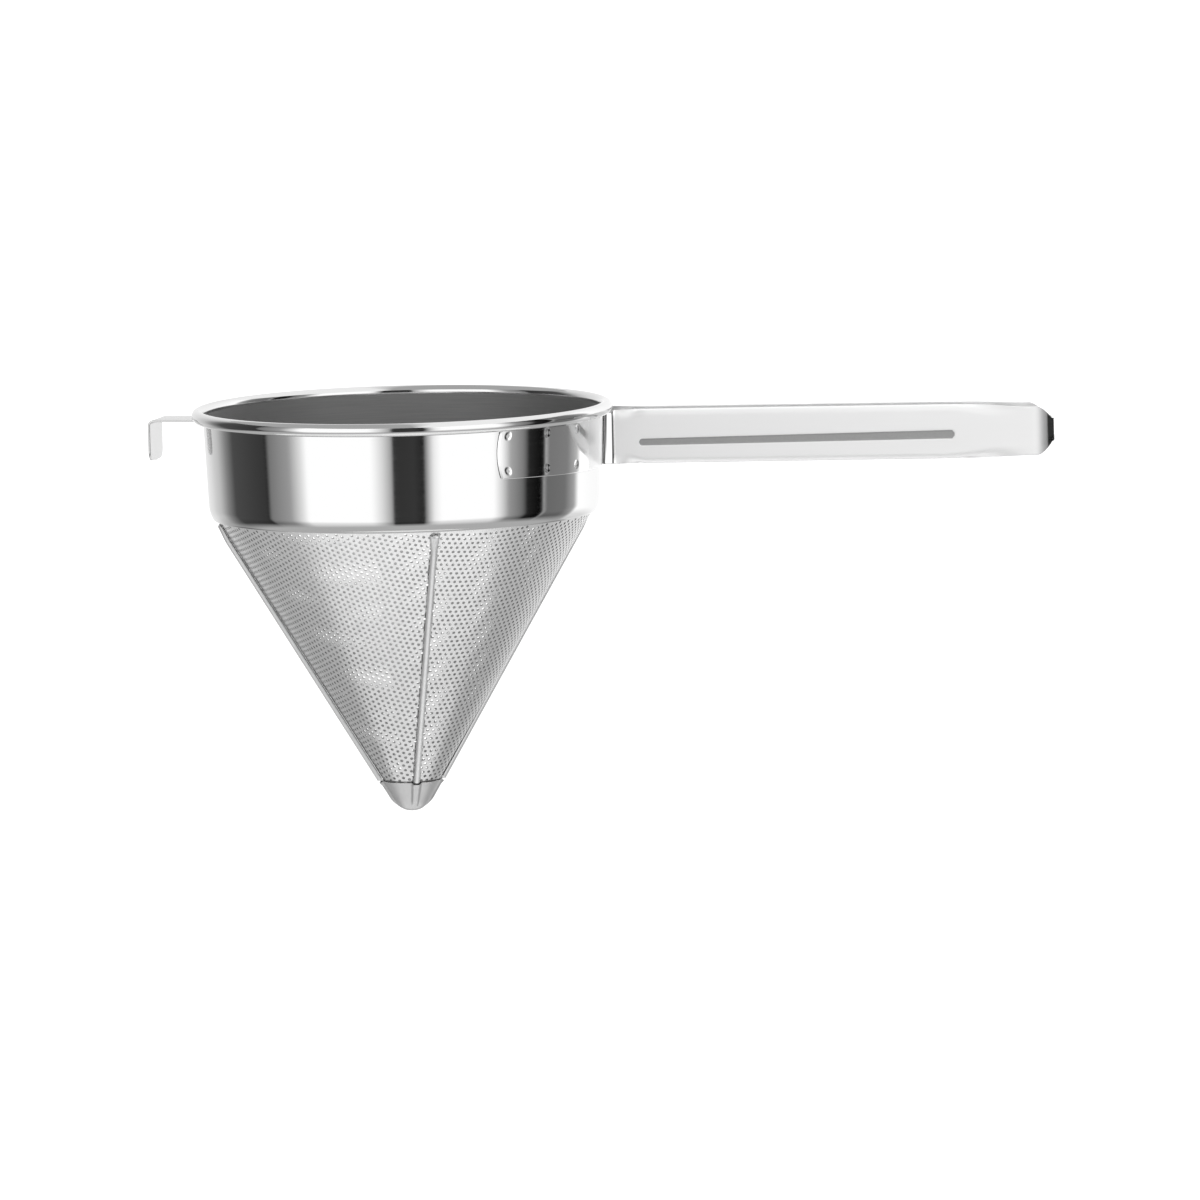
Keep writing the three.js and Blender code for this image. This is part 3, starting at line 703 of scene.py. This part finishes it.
def strap_section(station):
    """Places across the strap, lower edge to upper edge: rise, how far turned in, and lean."""
    x = station["x"]
    turned_in = eased(x, fillet_x, fillet_x + 17) * (1 - eased(x, loop_x - 42, loop_x - 2))
    bent = 2.5 * math.pi / 2
    angle = max(0.001, turned_in * math.pi / 2)
    halves = []
    for reach in strap_reach(station)[::-1]:
        reach -= strap_sheet / 2 * (1 - turned_in)
        length = min(bent, reach * 0.3) + (bent - min(bent, reach * 0.3)) * turned_in
        flange = 1 + 1.0 * turned_in
        radius = length / angle
        web = reach - radius * math.sin(angle) - flange * math.cos(angle) - strap_sheet / 2 * math.sin(angle)
        line = []
        for share in np.linspace(0, 1, 9):
            lean = angle * share
            line.append((web + radius * math.sin(lean), radius * (1 - math.cos(lean)), lean))
        rise, inward, lean = line[-1]
        for step in (0.5, 1.0):
            line.append((rise + step * flange * math.cos(angle), inward + step * flange * math.sin(angle), angle))
        halves.append((web, line))
    (low_web, low), (high_web, high) = halves
    middle = groove_rise(x)
    near = 3.3 * groove_half_width(x) / 1.75
    even = np.linspace(-low_web, high_web, 38)[1:-1]
    close = np.concatenate([
        np.linspace(-low_web, middle - near, 9)[1:], np.linspace(middle - near, middle + near, 21)[1:],
        np.linspace(middle + near, high_web, 10)[1:-1],
    ])
    web = even * station["wing"] + close * (1 - station["wing"])
    section = [(-rise, inward, -lean) for rise, inward, lean in reversed(low)]
    return section + [(rise, 0.0, 0.0) for rise in web] + high


def groove_rise(x):
    """How far the groove's middle is above the strap's."""
    return 1.6 * min(1.0, max(0.0, (x - groove_start) / (groove_end - groove_start))) - 2.6


def groove_half_width(x):
    """Half the groove's width, which grows towards the loop."""
    return 1.75 + 0.45 * min(1.0, max(0.0, (x - groove_start) / (groove_end - groove_start)))


def from_groove(x, rise):
    """How far a place on the handle's side is from the groove's middle line."""
    nearest = min(max(x, groove_start + 1.75), groove_end - 2.2)
    return math.hypot(x - nearest, rise - groove_rise(x))


def groove_depth(x, rise):
    """How deep the pressed groove is at a place on the handle's side."""
    half = groove_half_width(x)
    return 0.6 * (1 - eased(from_groove(x, rise), half - 0.75, half + 0.15))


def root_waist(x):
    """How far the strap springs inward where the press tool has bent its root."""
    return 0.095 * eased(x, fillet_x - 4.2, fillet_x - 1.5) * (1 - eased(x, fillet_x - 1.5, fillet_x + 0.8))


def weld_dimple(angle, rise):
    """How deep a spot weld's dimple is at a place on a wing."""
    deepest = 0.0
    for turn in weld_turns:
        for height in (-weld_rise, weld_rise):
            away = math.hypot(math.radians(abs(math.degrees(angle)) - turn) * wing_radius, rise - height)
            deepest += 0.2 * (1 - eased(away, 1.15, 2.05))
    return deepest


def strap_grid():
    """Middle of the strap's sheet, with the way out of it, station by station."""
    grid = []
    for station in strap_stations():
        section = strap_section(station)
        middle = strap_depth(station["x"])
        top = section[-1][0]
        row = []
        for rise, inward, lean in section:
            depth = middle - rise
            taper = station["wing"] * (band_radius(depth) - band_radius(wing_depth))
            bulge = station["along"] ** 4 * end_bow * (rise / top) ** 2 / fillet_x
            turn = -math.copysign(bulge, station["face"])
            pressed = 0.0
            if abs(lean) < 0.02 and "turn" not in station:
                if station["wing"] == 1.0:
                    pressed = weld_dimple(station["face"], rise)
                elif station["wing"] == 0.0:
                    pressed = groove_depth(station["x"], rise)
            out = taper - strap_sheet / 2 - inward - pressed
            spot = np.array([
                station["x"] + out * math.cos(station["face"]),
                station["y"] + out * math.sin(station["face"]) - math.copysign(root_waist(station["x"]), station["y"]),
                bead_level - depth,
            ])
            away = np.array([math.cos(lean) * math.cos(station["face"]), math.cos(lean) * math.sin(station["face"]), math.sin(lean)])
            spin = np.array([[math.cos(turn), -math.sin(turn), 0], [math.sin(turn), math.cos(turn), 0], [0, 0, 1]])
            row.append((spin @ spot, spin @ away))
        grid.append(row)
    return grid


def closed_sheet(name, grid, thickness, first_slope=0.0, last_slope=0.0, sharp=45):
    """A sheet of even thickness as a piece, from its middle surface, with its edges just broken.
    An end given a slope is hammered down to its inner face over that length."""
    half = thickness / 2
    spots = np.array([[place for place, _ in row] for row in grid])
    ways = np.array([[away for _, away in row] for row in grid])
    rings = []
    for row, way in zip(spots, ways):
        low = (row[0] - row[1]) / np.linalg.norm(row[0] - row[1])
        high = (row[-1] - row[-2]) / np.linalg.norm(row[-1] - row[-2])
        broken = ((0.96, 0.75), (0.7, 1.0), (-0.7, 1.0), (-0.96, 0.75))
        far = [row[-1] + half * (a * way[-1] + b * high) for a, b in broken]
        near = [row[0] - half * (a * way[0] - b * low) for a, b in broken]
        rings.append(np.array(list(row + half * way) + far + list((row - half * way)[::-1]) + near))
    ends = []
    for here, beyond, slope in ((0, 1, first_slope), (-1, -2, last_slope)):
        outward = spots[here] - spots[beyond]
        outward /= np.linalg.norm(outward, axis=1, keepdims=True)
        fold = spots[here] - (half * ways[here] if slope else 0)
        fold = np.concatenate([fold, [fold[-1]] * 4, fold[::-1], [fold[0]] * 4])
        onward = np.concatenate([outward, [outward[-1]] * 4, outward[::-1], [outward[0]] * 4])
        reach = slope or half
        caps = []
        for t in (0.25, 0.5, 0.75, 1.0, 1.25, math.pi / 2):
            away, ahead = (1 - t / (math.pi / 2), t / (math.pi / 2)) if slope else (math.cos(t), math.sin(t))
            caps.append(fold + (rings[here] - fold) * away + onward * reach * ahead)
        ends.append(caps)
    piece = skinned(name, ends[0][::-1] + rings + ends[1], sharp=sharp)
    close_ends(piece)
    return piece


def close_ends(piece):
    """Joins the corners that lie together where a sheet's end has been rounded to nothing."""
    work = bmesh.new()
    work.from_mesh(piece.data)
    bmesh.ops.remove_doubles(work, verts=work.verts, dist=1e-7)
    bmesh.ops.dissolve_degenerate(work, dist=1e-7, edges=work.edges)
    bmesh.ops.recalc_face_normals(work, faces=work.faces)
    work.to_mesh(piece.data)
    work.free()


handle = closed_sheet("handle_strap", strap_grid(), strap_sheet, end_slope, end_slope)

# Stainless strap: the wings, the loop and the hook are buffed bright with the band, and the
# grip between them keeps the satin of the rolled strap, so it shows as one even pale grey.
strap_steel = bpy.data.materials.new("rolled_stainless_strap")
strap_steel.use_nodes = True
tree = strap_steel.node_tree
shader = tree.nodes["Principled BSDF"]
shader.inputs["Base Color"].default_value = linear("#f6f6f6")
shader.inputs["Metallic"].default_value = 1.0
where = add_node(tree, "ShaderNodeTexCoord", {})
parts = add_node(tree, "ShaderNodeSeparateXYZ", {"Vector": where.outputs["Object"]})
grip_from = add_node(
    tree, "ShaderNodeMapRange",
    {"Value": parts.outputs["X"], "From Min": (fillet_x + 0.3) / 1000, "From Max": (fillet_x + 2.1) / 1000},
)
grip_to = add_node(
    tree, "ShaderNodeMapRange",
    {"Value": parts.outputs["X"], "From Min": (loop_x + 7.3) / 1000, "From Max": (loop_x + 8.3) / 1000, "To Min": 1.0, "To Max": 0.0},
)
grip = add_node(tree, "ShaderNodeMath", {0: grip_from.outputs["Result"], 1: grip_to.outputs["Result"]}, operation="MULTIPLY")
facing = add_node(tree, "ShaderNodeNewGeometry", {})
upward = add_node(tree, "ShaderNodeSeparateXYZ", {"Vector": facing.outputs["True Normal"]})
level = add_node(tree, "ShaderNodeMath", {0: upward.outputs["Z"]}, operation="ABSOLUTE")
on_side = add_node(
    tree, "ShaderNodeMapRange",
    {"Value": level.outputs[0], "From Min": 0.85, "From Max": 0.98, "To Min": 1.0, "To Max": 0.25},
)
grip = add_node(tree, "ShaderNodeMath", {0: grip.outputs[0], 1: on_side.outputs["Result"]}, operation="MULTIPLY")
roll_lines = add_node(tree, "ShaderNodeMapping", {"Vector": where.outputs["Object"], "Scale": (18, 18, 1400)})
lines = add_node(tree, "ShaderNodeTexNoise", {"Vector": roll_lines.outputs["Vector"], "Scale": 1.0, "Detail": 3.0})
bright = add_node(
    tree, "ShaderNodeMapRange",
    {"Value": lines.outputs["Fac"], "From Min": 0.3, "From Max": 0.7, "To Min": 0.05, "To Max": 0.09},
)
satin = add_node(
    tree, "ShaderNodeMapRange",
    {"Value": lines.outputs["Fac"], "From Min": 0.3, "From Max": 0.7, "To Min": 0.5, "To Max": 0.56},
)
finish = add_node(
    tree, "ShaderNodeMapRange",
    {"Value": grip.outputs[0], "To Min": bright.outputs["Result"], "To Max": satin.outputs["Result"]},
)
corner_from = add_node(tree, "ShaderNodeMapRange", {"Value": parts.outputs["X"], "From Min": 0.083, "From Max": 0.086})
corner_to = add_node(
    tree, "ShaderNodeMapRange",
    {"Value": parts.outputs["X"], "From Min": 0.0946, "From Max": 0.0954, "To Min": 0.25, "To Max": 0.0},
)
corner = add_node(tree, "ShaderNodeMath", {0: corner_from.outputs["Result"], 1: corner_to.outputs["Result"]}, operation="MULTIPLY")
rough = add_node(tree, "ShaderNodeMath", {0: finish.outputs["Result"], 1: corner.outputs[0]})
tree.links.new(rough.outputs[0], shader.inputs["Roughness"])
lined = add_node(
    tree, "ShaderNodeBump",
    {"Height": lines.outputs["Fac"], "Strength": 0.2, "Distance": 0.000002},
)
tree.links.new(lined.outputs["Normal"], shader.inputs["Normal"])

# Stainless strap stretched by the press tool: the groove is matt, and its grey, darker than the grip, is painted shade
# in the pressed groove.
groove_steel_and_shade = bpy.data.materials.new("pressed_stainless_groove_painted_shade")
groove_steel_and_shade.use_nodes = True
tree = groove_steel_and_shade.node_tree
shader = tree.nodes["Principled BSDF"]
shader.inputs["Base Color"].default_value = linear("#acacac")
shader.inputs["Metallic"].default_value = 1.0
where = add_node(tree, "ShaderNodeTexCoord", {})
grain = add_node(tree, "ShaderNodeTexNoise", {"Vector": where.outputs["Object"], "Scale": 900.0, "Detail": 2.0})
matt = add_node(
    tree, "ShaderNodeMapRange",
    {"Value": grain.outputs["Fac"], "From Min": 0.3, "From Max": 0.7, "To Min": 0.55, "To Max": 0.62},
)
tree.links.new(matt.outputs["Result"], shader.inputs["Roughness"])

handle.data.materials.append(strap_steel)
handle.data.materials.append(groove_steel_and_shade)
# the groove's faces take the darker grey: painted shade in the pressed groove
for face in handle.data.polygons:
    x, y, z = face.center * 1000
    rise = z - bead_level + strap_depth(x)
    if x > fillet_x + 5 and from_groove(x, rise) < 0.94 * groove_half_width(x) and face.normal.y * y > 0.5 * abs(y):
        face.material_index = 1
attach(handle, "root")
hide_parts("handle")


# The hook. A short strap of the same sheet as the handle, bent twice: its leg is spot welded to
# the band, its bridge lies on a pot's edge, and its tab hangs down outside with rounded corners.

hook_sheet = 1.0
hook_half_width = 11.0
hook_turn = math.radians(160)
bridge_depth = bead_radius + 0.4 + hook_sheet / 2
leg_end_depth = bridge_depth + 16.0
tab_radius = band_radius(bridge_depth) + 28.6 - hook_sheet / 2
tab_end_depth = bridge_depth - hook_sheet / 2 + 20.5
corner_round = 5.0


def hook_line():
    """The hook's side view, as radius and depth of the middle of its sheet."""
    leg = lambda depth: band_radius(depth) + 0.3 + hook_sheet / 2
    corners = [(leg(leg_end_depth - 0.5), leg_end_depth - 0.5), (leg(bridge_depth), bridge_depth), (tab_radius, bridge_depth), (tab_radius, tab_end_depth - corner_round)]
    line = list(zip(np.linspace(corners[0][0], leg(bridge_depth + 3.2), 22), np.linspace(corners[0][1], bridge_depth + 3.2, 22)))
    for i in (1, 2):
        here = np.array(corners[i])
        before = np.array(corners[i - 1]) - here
        after = np.array(corners[i + 1]) - here
        before /= np.linalg.norm(before)
        after /= np.linalg.norm(after)
        half = math.acos(float(before @ after)) / 2
        centre = here + (before + after) / np.linalg.norm(before + after) * 2.5 / math.sin(half)
        start = here + before * 2.5 / math.tan(half) - centre
        end = here + after * 2.5 / math.tan(half) - centre
        a, b = math.atan2(start[1], start[0]), math.atan2(end[1], end[0])
        b = a + (b - a + math.pi) % (2 * math.pi) - math.pi
        for t in np.linspace(a, b, 10):
            line.append((centre[0] + 2.5 * math.cos(t), centre[1] + 2.5 * math.sin(t)))
        if i == 1:
            line += [(r, bridge_depth) for r in np.linspace(line[-1][0], tab_radius - 2.6, 6)[1:-1]]
    line += [(tab_radius, d) for d in np.linspace(line[-1][1], tab_end_depth - corner_round, 8)[1:]]
    for t in np.linspace(0, math.pi / 2, 15)[1:-1]:
        line.append((tab_radius, tab_end_depth - corner_round + (corner_round - 0.5) * math.sin(t)))
    return line


def hook_grid():
    """Middle of the hook's sheet, with the way out of it, station by station."""
    line = np.array(hook_line())
    way = np.gradient(line, axis=0)
    grid = []
    for (radius, depth), (dr, dd) in zip(line, way):
        run = math.hypot(dr, dd)
        out = (-dd / run, dr / run)
        drop = max(0.0, depth - (tab_end_depth - corner_round)) / (corner_round - 0.5) if radius > tab_radius - 0.01 else 0.0
        half = hook_half_width - 0.5 - (corner_round - 0.5) * (1 - math.sqrt(max(0.0, 1 - drop * drop)))
        hug = 1 - eased(radius, band_radius(bridge_depth) + 0.8, band_radius(bridge_depth) + 10.8)
        row = []
        for across in np.linspace(-half, half, 33):
            sag = hug * (radius - math.sqrt(radius * radius - across * across))
            pressed = 0.0
            if depth > bridge_depth + 3 and radius < tab_radius - 5:
                for side in (-5.2, 5.2):
                    away = math.hypot(across - side, depth - bridge_depth - 10.5)
                    pressed += 0.2 * (1 - eased(away, 1.15, 2.05))
            spot = np.array([radius - sag - pressed, across, bead_level - depth])
            away = np.array([out[0], 0.0, -out[1]])
            spin = np.array([[math.cos(hook_turn), -math.sin(hook_turn), 0], [math.sin(hook_turn), math.cos(hook_turn), 0], [0, 0, 1]])
            row.append((spin @ spot, spin @ away))
        grid.append(row)
    return grid


hook = closed_sheet("hook_strap", hook_grid(), hook_sheet)

# Stainless strip as it left the rolls: bright enough to mirror softly, but greyer than the band.
strip_steel = bpy.data.materials.new("rolled_stainless_strip")
strip_steel.use_nodes = True
tree = strip_steel.node_tree
shader = tree.nodes["Principled BSDF"]
shader.inputs["Base Color"].default_value = linear("#cdcdcd")
shader.inputs["Metallic"].default_value = 1.0
where = add_node(tree, "ShaderNodeTexCoord", {})
strip_lines = add_node(tree, "ShaderNodeMapping", {"Vector": where.outputs["Object"], "Scale": (900, 900, 60)})
lines = add_node(tree, "ShaderNodeTexNoise", {"Vector": strip_lines.outputs["Vector"], "Scale": 1.0, "Detail": 2.0})
soft = add_node(
    tree, "ShaderNodeMapRange",
    {"Value": lines.outputs["Fac"], "From Min": 0.3, "From Max": 0.7, "To Min": 0.16, "To Max": 0.24},
)
tree.links.new(soft.outputs["Result"], shader.inputs["Roughness"])

hook.data.materials.append(strip_steel)
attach(hook, "root")
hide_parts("hook")


# The camera. A long lens, a little above the rim and slightly turned, as in the photograph.

view_turn = math.radians(-5)
view_drop = math.radians(5.4)
view_roll = math.radians(1.5)
distance = 6.0
px_per_mm = 2.072
right = Vector((math.cos(view_turn), math.sin(view_turn), 0))
level_way = Vector((-math.sin(view_turn), math.cos(view_turn), 0))
forward = level_way * math.cos(view_drop) + Vector((0, 0, -math.sin(view_drop)))
upward = right.cross(forward)
image_right = right * math.cos(view_roll) - upward * math.sin(view_roll)
image_up = right * math.sin(view_roll) + upward * math.cos(view_roll)
bead_middle = Vector((0, 0, bead_level / 1000))
target = bead_middle + image_right * 0.09556 - image_up * 0.09146
lens = bpy.data.cameras.new("camera")
lens.sensor_width = 36
lens.lens = px_per_mm * distance * 1000 / 1200 * 36
lens.clip_start = 0.1
lens.clip_end = 100
camera = bpy.data.objects.new("camera", lens)
bpy.context.scene.collection.objects.link(camera)
camera.location = bead_middle - forward * distance
aim = (target - camera.location).normalized()
side_way = aim.cross(image_up).normalized()
top_way = side_way.cross(aim)
camera.rotation_mode = "QUATERNION"
camera.rotation_quaternion = Matrix((side_way, top_way, -aim)).transposed().to_quaternion()
bpy.context.scene.camera = camera


# The studio. A pale floor well below the tip, a white surround, and a ring of diffusing cloth
# and dark cards close round the strainer, which gives polished steel its light and dark bands.

floor_level = -1.5
floor_mesh = bpy.data.meshes.new("floor")
floor_mesh.from_pydata([(-60, -60, floor_level), (60, -60, floor_level), (60, 60, floor_level), (-60, 60, floor_level)], [], [(0, 1, 2, 3)])
floor = bpy.data.objects.new("floor", floor_mesh)
bpy.context.scene.collection.objects.link(floor)
pale_floor = bpy.data.materials.new("pale_painted_floor")
pale_floor.use_nodes = True
tree = pale_floor.node_tree
tree.nodes.clear()
ray = add_node(tree, "ShaderNodeLightPath", {})
seen = add_node(tree, "ShaderNodeMath", {0: ray.outputs["Is Camera Ray"], 1: ray.outputs["Is Glossy Ray"]}, operation="MAXIMUM")
seen = add_node(tree, "ShaderNodeMath", {0: seen.outputs[0], 1: ray.outputs["Is Transmission Ray"]}, operation="MAXIMUM")
lift = add_node(tree, "ShaderNodeMath", {0: seen.outputs[0], 1: 0.5}, operation="MULTIPLY")
paint = add_node(tree, "ShaderNodeBsdfDiffuse", {"Color": linear("#efefef")})
glow = add_node(tree, "ShaderNodeEmission", {"Color": (1, 1, 1, 1), "Strength": lift.outputs[0]})
both = add_node(tree, "ShaderNodeAddShader", {0: paint.outputs[0], 1: glow.outputs[0]})
add_node(tree, "ShaderNodeOutputMaterial", {"Surface": both.outputs[0]})
floor_mesh.materials.append(pale_floor)

world = bpy.data.worlds.new("white surround")
bpy.context.scene.world = world
world.use_nodes = True
tree = world.node_tree
tree.nodes.clear()
ray = add_node(tree, "ShaderNodeLightPath", {})
seen = add_node(tree, "ShaderNodeMath", {0: ray.outputs["Is Camera Ray"], 1: ray.outputs["Is Glossy Ray"]}, operation="MAXIMUM")
seen = add_node(tree, "ShaderNodeMath", {0: seen.outputs[0], 1: ray.outputs["Is Transmission Ray"]}, operation="MAXIMUM")
strength = add_node(tree, "ShaderNodeMapRange", {"Value": seen.outputs[0], "To Min": 0.9, "To Max": 1.0})
white = add_node(tree, "ShaderNodeBackground", {"Color": (1, 1, 1, 1), "Strength": strength.outputs["Result"]})
add_node(tree, "ShaderNodeOutputWorld", {"Surface": white.outputs[0]})

# each stop is an azimuth in degrees from the camera's side to the right, and how bright it is
cloth_and_cards = [
    (-150, 0.9), (-134, 0.68), (-123, 0.3), (-114, 0.09), (-86, 0.05), (-83.6, 0.02), (-82.4, 0.24), (-68, 0.42),
    (-60, 1.0), (-56, 1.4), (-18, 1.4), (-12, 0.95), (-7, 0.48), (-6.4, 0.04), (6, 0.05), (11.3, 0.02), (13.5, 0.5),
    (17, 1.15), (21, 1.4), (52, 1.4), (58, 0.85), (62, 0.4), (71, 0.2), (74.5, 0.02), (85.5, 0.0), (87.3, 0.45),
    (89.5, 0.19), (106, 0.22), (116, 0.5), (121, 1.4),
]
brightest = 1.4
tent_radius = 1.15
tent_top = 0.8
around_tent = np.radians(np.arange(0, 360, 1.0))
tent_points = [(tent_radius * math.cos(t), tent_radius * math.sin(t), z) for z in (floor_level + 0.002, tent_top) for t in around_tent]
tent_faces = [(k, (k + 1) % 360, 360 + (k + 1) % 360, 360 + k) for k in range(360)]
tent_mesh = bpy.data.meshes.new("cloth_ring")
tent_mesh.from_pydata(tent_points, [], tent_faces)
tent = bpy.data.objects.new("cloth_ring", tent_mesh)
bpy.context.scene.collection.objects.link(tent)
cloth = bpy.data.materials.new("lit_cloth_and_cards")
cloth.use_nodes = True
tree = cloth.node_tree
tree.nodes.clear()
place = add_node(tree, "ShaderNodeTexCoord", {})
toward = math.atan2(-forward.y, -forward.x)
turned = add_node(tree, "ShaderNodeVectorRotate", {"Vector": place.outputs["Object"], "Angle": -toward}, rotation_type="Z_AXIS")
parts = add_node(tree, "ShaderNodeSeparateXYZ", {"Vector": turned.outputs["Vector"]})
angle = add_node(tree, "ShaderNodeMath", {0: parts.outputs["Y"], 1: parts.outputs["X"]}, operation="ARCTAN2")
share = add_node(tree, "ShaderNodeMapRange", {"Value": angle.outputs[0], "From Min": -math.pi, "From Max": math.pi})
ramp = add_node(tree, "ShaderNodeValToRGB", {"Fac": share.outputs["Result"]})
bands = ramp.color_ramp
for azimuth, bright in cloth_and_cards:
    stop = bands.elements.new((azimuth + 180) / 360)
    stop.color = (bright / brightest,) * 3 + (1,)
bands.elements[0].color = bands.elements[-1].color = (1 / brightest,) * 3 + (1,)
cards_end = add_node(tree, "ShaderNodeMapRange", {"Value": parts.outputs["Z"], "From Min": -0.85, "From Max": -0.55})
shown = add_node(
    tree, "ShaderNodeMixRGB",
    {"Fac": cards_end.outputs["Result"], "Color1": (0.56, 0.56, 0.56, 1), "Color2": ramp.outputs["Color"]},
)
strength = add_node(
    tree, "ShaderNodeMapRange",
    {"Value": parts.outputs["Z"], "From Min": -0.5, "From Max": -0.32, "To Min": 0.7 * brightest, "To Max": brightest},
)
lit = add_node(tree, "ShaderNodeEmission", {"Color": shown.outputs["Color"], "Strength": strength.outputs["Result"]})
add_node(tree, "ShaderNodeOutputMaterial", {"Surface": lit.outputs[0]})
tent_mesh.materials.append(cloth)
roof_mesh = bpy.data.meshes.new("cloth_roof")
roof_mesh.from_pydata([(tent_radius * math.cos(t), tent_radius * math.sin(t), tent_top) for t in around_tent], [], [tuple(range(360))])
roof = bpy.data.objects.new("cloth_roof", roof_mesh)
bpy.context.scene.collection.objects.link(roof)
roof_cloth = bpy.data.materials.new("grey_roof_cloth")
roof_cloth.use_nodes = True
tree = roof_cloth.node_tree
tree.nodes.clear()
place = add_node(tree, "ShaderNodeTexCoord", {})
parts = add_node(tree, "ShaderNodeSeparateXYZ", {"Vector": place.outputs["Object"]})
panel = add_node(
    tree, "ShaderNodeMapRange",
    {"Value": parts.outputs["X"], "From Min": 0.02, "From Max": 0.12, "To Min": 0.5, "To Max": 1.15},
)
soft = add_node(tree, "ShaderNodeEmission", {"Color": (1, 1, 1, 1), "Strength": panel.outputs["Result"]})
add_node(tree, "ShaderNodeOutputMaterial", {"Surface": soft.outputs[0]})
roof_mesh.materials.append(roof_cloth)
card_turns = np.radians(np.arange(88, 142, 3)) + toward
card_points = [((tent_radius - 0.02) * math.cos(t), (tent_radius - 0.02) * math.sin(t), z) for z in (-0.125, -0.06) for t in card_turns]
card_faces = [(k, k + 1, k + 1 + len(card_turns), k + len(card_turns)) for k in range(len(card_turns) - 1)]
card_mesh = bpy.data.meshes.new("dark_card")
card_mesh.from_pydata(card_points, [], card_faces)
card = bpy.data.objects.new("dark_card", card_mesh)
bpy.context.scene.collection.objects.link(card)
black_card = bpy.data.materials.new("black_card")
black_card.use_nodes = True
tree = black_card.node_tree
tree.nodes.clear()
dark = add_node(tree, "ShaderNodeEmission", {"Color": (1, 1, 1, 1), "Strength": 0.03})
add_node(tree, "ShaderNodeOutputMaterial", {"Surface": dark.outputs[0]})
card_mesh.materials.append(black_card)
card.visible_camera = False
roof.visible_camera = False
tent.visible_camera = False

bpy.context.scene.view_settings.view_transform = "Standard"
